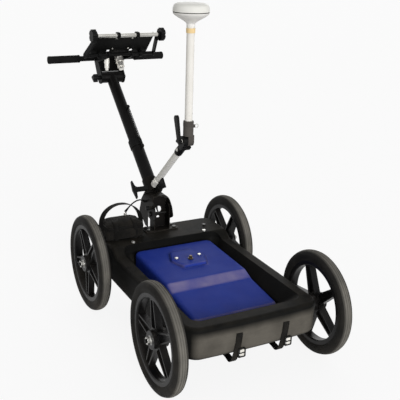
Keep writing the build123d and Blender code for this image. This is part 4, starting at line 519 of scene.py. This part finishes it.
def boltFinish(name, line):
    # deck bolts ahead of a line across the cart are bright, the others are blackened
    material, tree, shader = newFinish(name)
    skin = useGroup(tree, grain, Scale=1200.0)
    wear = useGroup(tree, edgeWear, Radius=0.0008, Gain=3.0)
    back = put(tree, "SeparateXYZ", {0: put(tree, "TexCoord").outputs["Object"]}).outputs["Y"]
    dark = maths(tree, "GREATER_THAN", back, line)
    bright = mixColour(tree, skin["Tone"], paint(228, 227, 222), paint(206, 204, 198))
    black = mixColour(tree, skin["Tone"], paint(40, 39, 38), paint(54, 53, 51))
    rubbed = maths(tree, "MULTIPLY", wear["Mask"], 0.5)
    colour = mixColour(tree, rubbed, mixColour(tree, dark, bright, black), paint(150, 148, 143))
    tree.links.new(colour, shader.inputs["Base Color"])
    tree.links.new(remap(tree, skin["Height"], 0.2, 0.8, 0.28, 0.42), shader.inputs["Roughness"])
    tree.links.new(wear["Normal"], shader.inputs["Normal"])
    shader.inputs["Metallic"].default_value = 0.7
    return material


tyreRubber = ribbedRubber("tyreRubber", 0.362)
deckBolt = boltFinish("deckBolt", 0.05)

finishes = {
    tubPlastic: ["tub"],
    hingeSteel: ["column_foot", "base_bracket"],
    blackSteel: ["axle_stubs", "gps_bracket", "head_yoke", "tray_arms"],
    columnPaint: ["lower_column", "upper_column", "handlebar"],
    blackPlastic: ["encoder_housing", "cable_cleat", "column_clamp", "elbow_base", "elbow_lever", "tilt_knob",
                   "tray_knob_left", "tray_knob_right", "fold_plunger"],
    rimPlastic: ["rim_fl", "rim_fr", "rim_rl", "rim_rr"],
    wheelRubber: ["tyre_fl", "tyre_fr", "tyre_rl", "tyre_rr"],
    blueShell: ["antenna_cover"],
    skidPlastic: ["antenna_base"],
    poleWhite: ["gps_pole"],
    armGrey: ["gps_arm", "gps_bolts"],
    socketGrey: ["elbow_socket"],
    collarBeige: ["gps_collar"],
    receiverWhite: ["gps_dome"],
    receiverGrey: ["gps_base_shell"],
    gasketRubber: ["gps_gasket"],
    gripFoam: ["grips"],
    deckBolt: ["cart_bolts"],
    zincSteel: ["axle_nuts", "antenna_bolts", "pole_pin"],
    darkSteel: ["pivot_pin", "sling_buckles"],
    brassSteel: ["antenna_connector"],
    bearingSteel: ["wheel_bearings"],
    silverBar: ["tray_bar"],
    plugNickel: ["cable_plugs", "lead_plug"],
    encoderMetal: ["encoder_disc"],
    copperFoil: ["antenna_bowties"],
    boardGreen: ["antenna_board", "gps_board"],
    batteryCase: ["battery_pack"],
    traySheet: ["tray_plate"],
    cordRubber: ["power_lead", "curly_cord"],
    bagCloth: ["battery_bag"],
    strapWebbing: ["sling_straps", "bag_strap"],
}
for material, names in finishes.items():
    for name in names:
        nodes[name].data.materials.clear()
        nodes[name].data.materials.append(material)
missed = sorted(set(nodes) - {name for names in finishes.values() for name in names})
print("finishes:", len(finishes), "on", len(nodes), "nodes, without one:", missed)


# cords

leadSet = {
    "route": [(-0.152, 0.15515, 0.384), (-0.1356, 0.15601, 0.40255), (-0.11212, 0.16024, 0.4194),
              (-0.08428, 0.16981, 0.42458), (-0.0608, 0.18173, 0.41646), (-0.0444, 0.19215, 0.404)],
    "diameter": 0.006, "length": 0.143, "ref": (0.0, 1.0, 0.2),
    "bootLength": 0.022, "bootWide": 1.9, "bootEnd": 1.15, "bootRings": 5, "ringHeight": 0.06, "bootRows": 22,
}


def makeBoot(name, line, s):
    # tapered sleeve on the first part of a line: the cord's own section, widened towards the end
    gone = np.concatenate([[0], np.cumsum(np.linalg.norm(np.diff(line, axis=0), axis=1))])
    share = np.linspace(0, 1, s["bootRows"])
    at = share * s["bootLength"]
    path = np.column_stack([np.interp(at, gone, line[:, k]) for k in range(3)])
    rings = s["ringHeight"] * np.sin(2 * np.pi * s["bootRings"] * share)
    scale = s["bootWide"] + share * (s["bootEnd"] - s["bootWide"] + rings)
    grid = carry(path, roundSection(s["diameter"] / 2, 20), s["ref"], scale)
    return surfacePiece(name, grid, cordRubber)


def makeLead(s):
    # the round section carried along the route, with a boot at each end
    line = nurbsLine("lead route", s["route"])
    grid = carry(line, roundSection(s["diameter"] / 2), s["ref"])
    tube = surfacePiece("power_lead_cord", grid, cordRubber)
    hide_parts("power_lead")
    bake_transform(tube)
    bagBoot = makeBoot("lead_bag_boot", line, s)
    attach(bagBoot, "cart")
    hoodBoot = makeBoot("lead_hood_boot", line[::-1], s)
    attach(hoodBoot, "column")


coilSet = {
    "base": (0.0, 0.2181535, 0.452), "lean": 49.7, "aside": 0.009048, "over": 0.036289,
    "bottom": 0.207, "top": 0.414, "turns": 22, "perTurn": 12, "radius": 0.0043,
    "diameter": 0.0032, "length": 0.63,
}


def makeCoil(s):
    # helix round a straight axis on the column: its radius grows in the first turn and shrinks in the last
    lean = np.radians(s["lean"])
    up = np.array([0.0, np.sin(lean), np.cos(lean)])
    front = np.array([0.0, -np.cos(lean), np.sin(lean)])
    right = np.array([1.0, 0.0, 0.0])
    turn = np.arange(s["turns"] * s["perTurn"] + 1) / s["perTurn"]
    grow = s["radius"] * np.clip(np.minimum(turn, s["turns"] - turn), 0, 1)
    along = s["bottom"] + (s["top"] - s["bottom"]) * turn / s["turns"]
    angle = 2 * np.pi * turn
    middle = np.array(s["base"]) + s["aside"] * right + s["over"] * front + along[:, None] * up
    route = middle + (grow * np.cos(angle))[:, None] * right + (grow * np.sin(angle))[:, None] * front
    line = nurbsLine("coil route", route)
    tube = surfacePiece("curly_cord_coil", carry(line, roundSection(s["diameter"] / 2, 10), up), cordRubber)
    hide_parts("curly_cord")
    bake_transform(tube)


makeLead(leadSet)
makeCoil(coilSet)
print("cords: power lead and curly cord")


# tyres

tyreSet = {
    "tyre_fl": ("wheel_front_left", (-0.327, -0.5698465, 0.2)),
    "tyre_fr": ("wheel_front_right", (0.327, -0.5698465, 0.2)),
    "tyre_rl": ("wheel_rear_left", (-0.327, 0.1121535, 0.2)),
    "tyre_rr": ("wheel_rear_right", (0.327, 0.1121535, 0.2)),
}
tyreForm = {
    "radius": 0.2, "bead": 0.16, "halfTread": 0.018, "halfBead": 0.019, "bulge": 0.0066, "drop": 0.005,
    "grooves": (-0.0135, -0.0045, 0.0045, 0.0135), "grooveHalf": 0.0013, "grooveDepth": 0.0022,
    "rings": (0.1905, 0.1875, 0.1845, 0.1665), "ringHeight": 0.0006, "ringHalf": 0.0007, "turns": 168,
}


def tyreProfile(s):
    # crown: a parabola less narrow grooves; wall: a sine bulge with raised rings; bead: a straight line
    x = np.linspace(-s["halfTread"], s["halfTread"], 85)
    cuts = np.exp(-((x[:, None] - np.array(s["grooves"])) / s["grooveHalf"]) ** 6).sum(1)
    crown = s["radius"] - s["drop"] * (x / s["halfTread"]) ** 2 - s["grooveDepth"] * cuts
    t = np.linspace(0, 1, 74)[1:-1]
    r = s["radius"] - s["drop"] + t * (s["bead"] - s["radius"] + s["drop"])
    rings = np.exp(-((r[:, None] - np.array(s["rings"])) / s["ringHalf"]) ** 2).sum(1)
    belly = s["bulge"] * np.sin(np.pi * t) ** 0.9 + s["ringHeight"] * rings
    out = s["halfTread"] + t * (s["halfBead"] - s["halfTread"]) + belly
    seat = np.linspace(s["halfBead"], -s["halfBead"], 5)
    along = np.concatenate([x, out, seat, -out[::-1]])
    radius = np.concatenate([crown, r, np.full(5, s["bead"]), r[::-1]])
    return along, radius


def makeTyre(name, body, centre, s):
    # the closed profile turned about the axle
    along, radius = tyreProfile(s)
    grid = turned(centre, (1, 0, 0), along, radius, s["turns"]).transpose(1, 0, 2)
    label = name.replace("tyre", "ribbed_tyre")
    piece = surfacePiece(label, np.ascontiguousarray(grid), tyreRubber, loopClosed=True)
    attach(piece, body)
    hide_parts(name)


for name, (body, centre) in tyreSet.items():
    makeTyre(name, body, centre, tyreForm)
print("tyres: four, ribbed")


# grips

gripSet = {"bar": (0.7518465, 0.9405372), "inner": 0.137, "outer": 0.287, "radius": 0.0172, "flange": 0.0178,
           "bore": 0.0126, "ribPitch": 0.005, "ribHeight": 0.0003, "ribFade": 0.012, "capLength": 0.012,
           "capRound": 0.004, "flangeLength": 0.008, "flangeEase": 0.0012}


def makeGrip(side, s):
    # bore, inner face, a flange, a body with sine ribs between smooth ends, and a rounded cap
    x = np.linspace(s["inner"] + s["flangeLength"] + 0.001, s["outer"] - s["capLength"], 180)
    fade = np.clip(np.minimum(x - x[0], x[-1] - x) / s["ribFade"], 0, 1)
    body = s["radius"] + s["ribHeight"] * fade * np.sin(2 * np.pi * x / s["ribPitch"])
    flangeX = s["inner"] + s["flangeLength"] * np.array([0.0, 0.125, 0.75, 1.0])
    flangeR = np.array([s["flange"] - s["flangeEase"], s["flange"], s["flange"], s["radius"] + 0.0004])
    bend = np.linspace(0, np.pi / 2, 12)
    lipX = s["outer"] - s["capLength"] + np.array([0.0004, 0.0012])
    capX = s["outer"] - s["capRound"] * (1 - np.sin(bend))
    capR = s["flange"] - s["capRound"] * (1 - np.cos(bend))
    bore, lipR = [s["bore"], s["bore"]], [s["radius"], s["flange"]]
    along = np.concatenate([[s["outer"] - s["capRound"], s["inner"]], flangeX, x, lipX, capX, [s["outer"]]])
    radius = np.concatenate([bore, flangeR, body, lipR, capR, [0.002]])
    return turned((0.0, *s["bar"]), (side, 0, 0), along, radius, 40)


grips = surfacePiece("ribbed_grips", [makeGrip(side, gripSet) for side in (1, -1)], gripFoam)
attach(grips, "head")
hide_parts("grips")
print("grips: two, ribbed")


# battery bag

bagSet = {"middle": (-0.18, 0.1306535), "half": (0.0845, 0.054), "foot": 0.2924, "top": 0.3585,
          "plan": 9.0, "footPower": 10.0, "lidPower": 4.2, "crown": 0.011,
          "voxel": 0.005, "pressure": 4.0, "frames": 20, "cap": 0.0045,
          "quality": 6, "mass": 0.3, "stiffness": 12, "bending": 0.4}


def bagGrid(s, rows=60, cols=96):
    # superellipsoid with a square foot and a soft lid, the top crowned by a fourth power
    theta = np.linspace(0, 2 * np.pi, cols, endpoint=False)[None, :]
    phi = np.linspace(-np.pi / 2 + 0.01, np.pi / 2 - 0.01, rows)[:, None]
    upright = np.where(phi < 0, 2 / s["footPower"], 2 / s["lidPower"])
    flat = signedPower(np.cos(phi), upright)
    a = flat * signedPower(np.cos(theta), 2 / s["plan"])
    b = flat * signedPower(np.sin(theta), 2 / s["plan"])
    c = signedPower(np.sin(phi), upright) + 0 * theta
    lid = s["crown"] * np.maximum(c, 0) * (1 - a**4) * (1 - b**4)
    z = (s["foot"] + s["top"]) / 2 + c * (s["top"] - s["foot"]) / 2 + lid
    return np.stack([s["middle"][0] + s["half"][0] * a, s["middle"][1] + s["half"][1] * b, z], -1)


def replaceMesh(piece, keepMaterial):
    # the evaluated mesh takes the place of the piece's own
    piece.data = bpy.data.meshes.new_from_object(piece.evaluated_get(bpy.context.evaluated_depsgraph_get()))
    piece.modifiers.clear()
    piece.data.materials.clear()
    piece.data.materials.append(keepMaterial)


def places(piece):
    # the mesh's points as rows of x, y and z
    found = np.zeros(len(piece.data.vertices) * 3)
    piece.data.vertices.foreach_get("co", found)
    return found.reshape(-1, 3)


def swell(piece, s):
    # cloth blown up from inside; no point moves further than the cap, or below the deck
    remesh = piece.modifiers.new("even", "REMESH")
    remesh.mode = "VOXEL"
    remesh.voxel_size = s["voxel"]
    replaceMesh(piece, bagCloth)
    start = places(piece)
    sim = piece.modifiers.new("swell", "CLOTH")
    sim.settings.quality = s["quality"]
    sim.settings.mass = s["mass"]
    sim.settings.tension_stiffness = s["stiffness"]
    sim.settings.compression_stiffness = s["stiffness"]
    sim.settings.bending_stiffness = s["bending"]
    sim.settings.use_pressure = True
    sim.settings.uniform_pressure_force = s["pressure"]
    sim.settings.effector_weights.gravity = 0.0
    sim.point_cache.frame_start, sim.point_cache.frame_end = 1, s["frames"]
    for step in range(1, s["frames"] + 1):
        scene.frame_set(step)
    replaceMesh(piece, bagCloth)
    scene.frame_set(1)
    moved = places(piece) - start
    far = np.linalg.norm(moved, axis=1, keepdims=True)
    settled = start + moved * np.minimum(1, s["cap"] / np.maximum(far, 1e-9))
    settled[:, 2] = np.maximum(settled[:, 2], s["foot"])
    piece.data.vertices.foreach_set("co", settled.astype(np.float32).ravel())
    piece.data.polygons.foreach_set("use_smooth", np.ones(len(piece.data.polygons), bool))
    piece.data.update()


bagBody = surfacePiece("battery_bag_body", bagGrid(bagSet), bagCloth)
swell(bagBody, bagSet)
smooth = bagBody.modifiers.new("smooth", "SUBSURF")
smooth.levels = smooth.render_levels = 1
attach(bagBody, "cart")
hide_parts("battery_bag")
print("battery bag: body of", len(bagBody.data.vertices), "points")

seamSet = {"pipe": 0.0042, "heights": (0.3515, 0.2985), "tape": (0.00288, 0.011), "tapeHeight": 0.3415,
           "proud": 0.003, "window": 9, "overlap": 20}


def bagLoop(height, count=180):
    # level superellipse drawn onto the nearest points of the swollen body, then evened by a running mean
    theta = np.linspace(0, 2 * np.pi, count, endpoint=False)
    p = 2 / bagSet["plan"]
    wide = np.array(bagSet["half"]) + seamSet["proud"]
    ring = np.column_stack([
        bagSet["middle"][0] + wide[0] * signedPower(np.cos(theta), p),
        bagSet["middle"][1] + wide[1] * signedPower(np.sin(theta), p),
        np.full(count, height),
    ])
    body = places(bagBody)
    near = body[((ring[:, None] - body[None]) ** 2).sum(-1).argmin(1)]
    near[:, 2] = height
    window = np.ones(seamSet["window"]) / seamSet["window"]
    more = seamSet["overlap"]
    padded = np.concatenate([near[-more:], near, near[:more]])
    return np.column_stack([np.convolve(padded[:, k], window, "same")[more:-more] for k in range(3)])


def loopPiece(name, loop, section, material, uvSize=None):
    # closed sweep: the tangent wraps round, so the gradient is taken over a padded copy
    padded = np.concatenate([loop[-2:], loop, loop[:2]])
    grid = carry(padded, section, (0.0, 0.0, 1.0))[2:-2]
    return surfacePiece(name, grid, material, loopClosed=True, uvSize=uvSize)


pipeSection = roundSection(seamSet["pipe"] / 2, 10)
tapeSection = squareSection(*seamSet["tape"], 6.0)
bagTrim = [loopPiece(f"bag_piping_{k}", bagLoop(h), pipeSection, strapWebbing, (0.013, 0.5))
           for k, h in enumerate(seamSet["heights"])]
bagTrim.append(loopPiece("bag_zip_tape", bagLoop(seamSet["tapeHeight"]), tapeSection, strapWebbing,
                         (0.024, 0.5)))


webbingPower = 8.0
bagPanelSet = {
    "bands": (-0.222, -0.138), "width": 0.018, "thick": 0.0022,
    "down": [(0.112, 0.3712), (0.094, 0.3698), (0.0815, 0.364), (0.0752, 0.352),
             (0.0728, 0.335), (0.0726, 0.318), (0.0735, 0.303), (0.0762, 0.2945)],
    "pocketMiddle": (-0.18, 0.0765, 0.3195), "pocketHalf": (0.052, 0.0075, 0.0195),
}


def bandOnBag(x, s):
    # webbing band from the lid down the bag's front to the deck
    line = throughPoints([(x, y, z) for y, z in s["down"]], 60)
    return carry(line, squareSection(s["thick"], s["width"], webbingPower), (1.0, 0.0, 0.0))


def pocketGrid(s):
    # flat superellipsoid that bulges from the bag's front
    theta = np.linspace(0, 2 * np.pi, 72, endpoint=False)[None, :]
    phi = np.linspace(-np.pi / 2 + 0.02, np.pi / 2 - 0.02, 40)[:, None]
    a = signedPower(np.cos(phi), 0.7) * signedPower(np.cos(theta), 0.4)
    b = signedPower(np.cos(phi), 0.7) * signedPower(np.sin(theta), 0.4)
    c = np.sin(phi) + 0 * theta
    return np.array(s["pocketMiddle"]) + np.stack([a, c, b], -1) * np.array(s["pocketHalf"])


bands = [bandOnBag(x, bagPanelSet) for x in bagPanelSet["bands"]]
bagTrim.append(surfacePiece("bag_bands", bands, strapWebbing, uvSize=(0.04, 0.13)))
pocket = surfacePiece("bag_pocket", pocketGrid(bagPanelSet), bagCloth)
for piece in bagTrim + [pocket]:
    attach(piece, "cart")
print("battery bag: piping, zip, bands and pocket")


# webbing

handleSet = {
    "y": 0.1306535, "width": 0.024, "thick": 0.0026, "twist": 0.55, "flat": (0.024, 0.322),
             "uv": (0.053, 0.322),
    "line": [(-0.2685, 0.328), (-0.2692, 0.348), (-0.2655, 0.376), (-0.2525, 0.402), (-0.2300, 0.4215),
             (-0.2030, 0.4315), (-0.1800, 0.4330), (-0.1530, 0.4285), (-0.1250, 0.4140), (-0.1040, 0.3900),
             (-0.0935, 0.3640), (-0.0912, 0.3440), (-0.0918, 0.328)],
}


def makeHandle(s):
    # a flat section carried over the arch; the steeper it stands, the more it twists
    line = throughPoints([(x, s["y"], z) for x, z in s["line"]], 120)
    steep = np.abs(unit(np.gradient(line, axis=0))[:, 2:])
    across = np.array([0.0, 1.0, 0.0]) - s["twist"] * steep * np.array([1.0, 0.0, 0.0])
    grid = carry(line, squareSection(s["thick"], s["width"], webbingPower), across)
    strap = surfacePiece("bag_carry_strap", grid, strapWebbing, uvSize=s["uv"])
    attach(strap, "cart")
    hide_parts("bag_strap")


slingSet = {
    "x": 0.095, "aside": 0.012, "width": 0.025, "thick": 0.002, "flat": (0.025, 0.873), "uv": (0.054, 0.873),
    "line": [(0.008, -0.6879, 0.222), (0.0072, -0.6880, 0.205), (0.005, -0.6882, 0.185),
             (0.002, -0.6885, 0.168), (-0.001, -0.6888, 0.156), (-0.004, -0.6887, 0.145),
             (-0.007, -0.6880, 0.133), (-0.009, -0.6850, 0.1215), (-0.009, -0.6780, 0.1120),
             (-0.008, -0.6680, 0.1070), (-0.006, -0.6550, 0.1056), (-0.002, -0.6200, 0.1056),
             (0.0, -0.5200, 0.1056), (0.0, -0.3400, 0.1056), (0.0, -0.1600, 0.1056), (0.0, -0.0400, 0.1056),
             (0.0, 0.0000, 0.1060), (0.0, 0.0120, 0.1085), (0.0, 0.0185, 0.1150), (0.0, 0.0202, 0.1260),
             (0.0, 0.02015, 0.150), (0.0, 0.02015, 0.175)],
}


def makeSling(side, s):
    # a flat section carried down the front, under the antenna and up behind it, leaning where it hangs free
    line = throughPoints([(s["aside"] + side * s["x"] + lean, y, z) for lean, y, z in s["line"]], 260)
    grid = carry(line, squareSection(s["thick"], s["width"], webbingPower), (1.0, 0.0, 0.0))
    label = "sling_strap_right" if side > 0 else "sling_strap_left"
    strap = surfacePiece(label, grid, strapWebbing, uvSize=s["uv"])
    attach(strap, "cart")
    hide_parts("sling_straps")


makeHandle(handleSet)
for side in (1, -1):
    makeSling(side, slingSet)
print("webbing: carrying strap and two slings")


# small fittings

armSet = {"base": (0.0, 0.2181535, 0.452), "rise": 41.97, "start": 0.037, "end": 0.0852,
          "radius": 0.0169, "tube": 0.01405, "footEase": 0.0008, "endEase": 0.001}


def makeArmSleeve(s):
    # pale sleeve round the arm's foot: a turned tube with small chamfers, closed on the arm itself
    rise = np.radians(s["rise"])
    wide, footEase, endEase = s["radius"], s["footEase"], s["endEase"]
    along = np.array([s["start"], s["start"] + footEase, s["end"] - endEase, s["end"], s["end"]])
    radius = np.array([wide - footEase, wide, wide, wide - endEase, s["tube"]])
    grid = turned(s["base"], (0.0, -np.cos(rise), np.sin(rise)), along, radius, 48)
    piece = surfacePiece("arm_foot_sleeve", grid, armGrey)
    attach(piece, "column")


plateSet = {"x": 0.125, "gap": 0.19, "y": -0.6911, "z": 0.1465, "size": (0.0165, 0.0255), "thick": 0.0018,
            "layers": (-1.5, -1.3, -0.7, -0.5), "eased": (0.94, 1.0, 1.0, 0.94)}


def makeBucklePlates(s):
    # pale slide plate inside each buckle: a soft-cornered section drawn through its thickness, edges eased
    grids = []
    section = squareSection(*s["size"], 6.0, 48)
    for x in (s["x"], s["x"] - s["gap"]):
        path = np.array([(x, s["y"] + s["thick"] * t, s["z"]) for t in s["layers"]])
        grids.append(carry(path, section, (0.0, 0.0, 1.0), np.array(s["eased"])))
    piece = surfacePiece("buckle_plates", grids, plateWhite)
    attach(piece, "cart")


screwSet = {"bar": (0.0, 0.4873583, 1.0760947), "slope": 44.0, "middle": 0.0795, "under": 0.0154,
            "half": 0.0375, "radius": 0.0046, "height": 0.0026}


def makeTrayScrews(s):
    # button heads under the tray: a quarter-ellipse dome with a round socket
    slope = np.radians(s["slope"])
    down = np.array([0.0, np.cos(slope), -np.sin(slope)])
    over = np.array([0.0, np.sin(slope), np.cos(slope)])
    bend = np.linspace(0, 0.42 * np.pi, 10)
    along = np.concatenate([[0.0], s["height"] * np.sin(bend), [0.9 * s["height"], 0.4 * s["height"]]])
    radius = np.concatenate([[0.98 * s["radius"]], s["radius"] * np.cos(bend) ** 0.7, [0.0016, 0.0014]])
    grids = []
    for x in (-s["half"], s["half"]):
        for t in (-s["half"], s["half"]):
            centre = np.array(s["bar"]) + (x, 0, 0) + (s["middle"] + t) * down + s["under"] * over
            grids.append(turned(centre, -over, along, radius, 28))
    piece = surfacePiece("tray_screws", grids, zincSteel)
    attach(piece, "tray")


ridgeSet = {"axis": (0.0, -0.1172), "radius": 0.02, "heights": (0.8205, 0.8145, 0.8085), "half": 0.0011}


def makeSocketRidges(s):
    # rings round the socket's mouth: small circles turned about the pole
    bend = np.linspace(0, 2 * np.pi, 14, endpoint=False)
    along, radius = s["half"] * np.sin(bend), s["radius"] + s["half"] * np.cos(bend)
    grids = [turned((*s["axis"], z), (0, 0, 1), along, radius, 56) for z in s["heights"]]
    piece = surfacePiece("socket_ridges", grids, socketGrey, loopClosed=True)
    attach(piece, "socket")


makeArmSleeve(armSet)
makeBucklePlates(plateSet)
makeTrayScrews(screwSet)
makeSocketRidges(ridgeSet)
print("fittings: arm sleeve, buckle plates, tray screws, socket ridges")


# light, floor and background

# each sun: strength, the side it shines from, and its spread in degrees
lightSet = {
    "world": 0.37, "suns": {"sun": (2.3, (-0.03, -1.0, 0.26), 30.0), "fill": (0.9, (0.35, 1.0, 0.3), 60.0)},
    "floor": (247, 247, 247), "floorSize": 60.0, "floorGlow": 0.88,
}


def backdropRays(tree):
    # 1 for rays that see the backdrop, straight, mirrored or through, and 0 for those that light the object
    rays = put(tree, "LightPath").outputs
    mirrored = maths(tree, "MAXIMUM", rays["Is Glossy Ray"], rays["Is Transmission Ray"])
    return maths(tree, "MAXIMUM", rays["Is Camera Ray"], mirrored)


def makeStage(s):
    # white backdrop, sky light, a broad sun from low in front, a weak one behind, a floor with the shadow
    world = bpy.data.worlds.new("studio")
    scene.world = world
    world.use_nodes = True
    tree = world.node_tree
    tree.nodes["Background"].inputs["Color"].default_value = (1.0, 1.0, 1.0, 1.0)
    level = remap(tree, backdropRays(tree), 0.0, 1.0, s["world"], 1.0)
    tree.links.new(level, tree.nodes["Background"].inputs["Strength"])
    for name, (strength, place, spread) in s["suns"].items():
        sun = bpy.data.objects.new(name, bpy.data.lights.new(name, "SUN"))
        sun.data.energy = strength
        sun.data.angle = np.radians(spread)
        sun.rotation_euler = Vector(place).to_track_quat("Z", "Y").to_euler()
        scene.collection.objects.link(sun)
    half = s["floorSize"] / 2
    mesh = bpy.data.meshes.new("floor")
    corners = [(-half, -half, 0), (half, -half, 0), (half, half, 0), (-half, half, 0)]
    mesh.from_pydata(corners, [], [(0, 1, 2, 3)])
    floor = bpy.data.objects.new("floor", mesh)
    scene.collection.objects.link(floor)
    material, tree, shader = newFinish("floor")
    shader.inputs["Base Color"].default_value = paint(*s["floor"])
    shader.inputs["Roughness"].default_value = 0.9
    glow = put(tree, "Emission", {"Color": (1.0, 1.0, 1.0, 1.0), "Strength": 1.0}).outputs[0]
    share = maths(tree, "MULTIPLY", backdropRays(tree), s["floorGlow"])
    mixed = put(tree, "MixShader", {0: share, 1: shader.outputs[0], 2: glow})
    tree.links.new(mixed.outputs[0], tree.nodes["Material Output"].inputs["Surface"])
    mesh.materials.append(material)


makeStage(lightSet)
print("stage: floor, sun and sky")
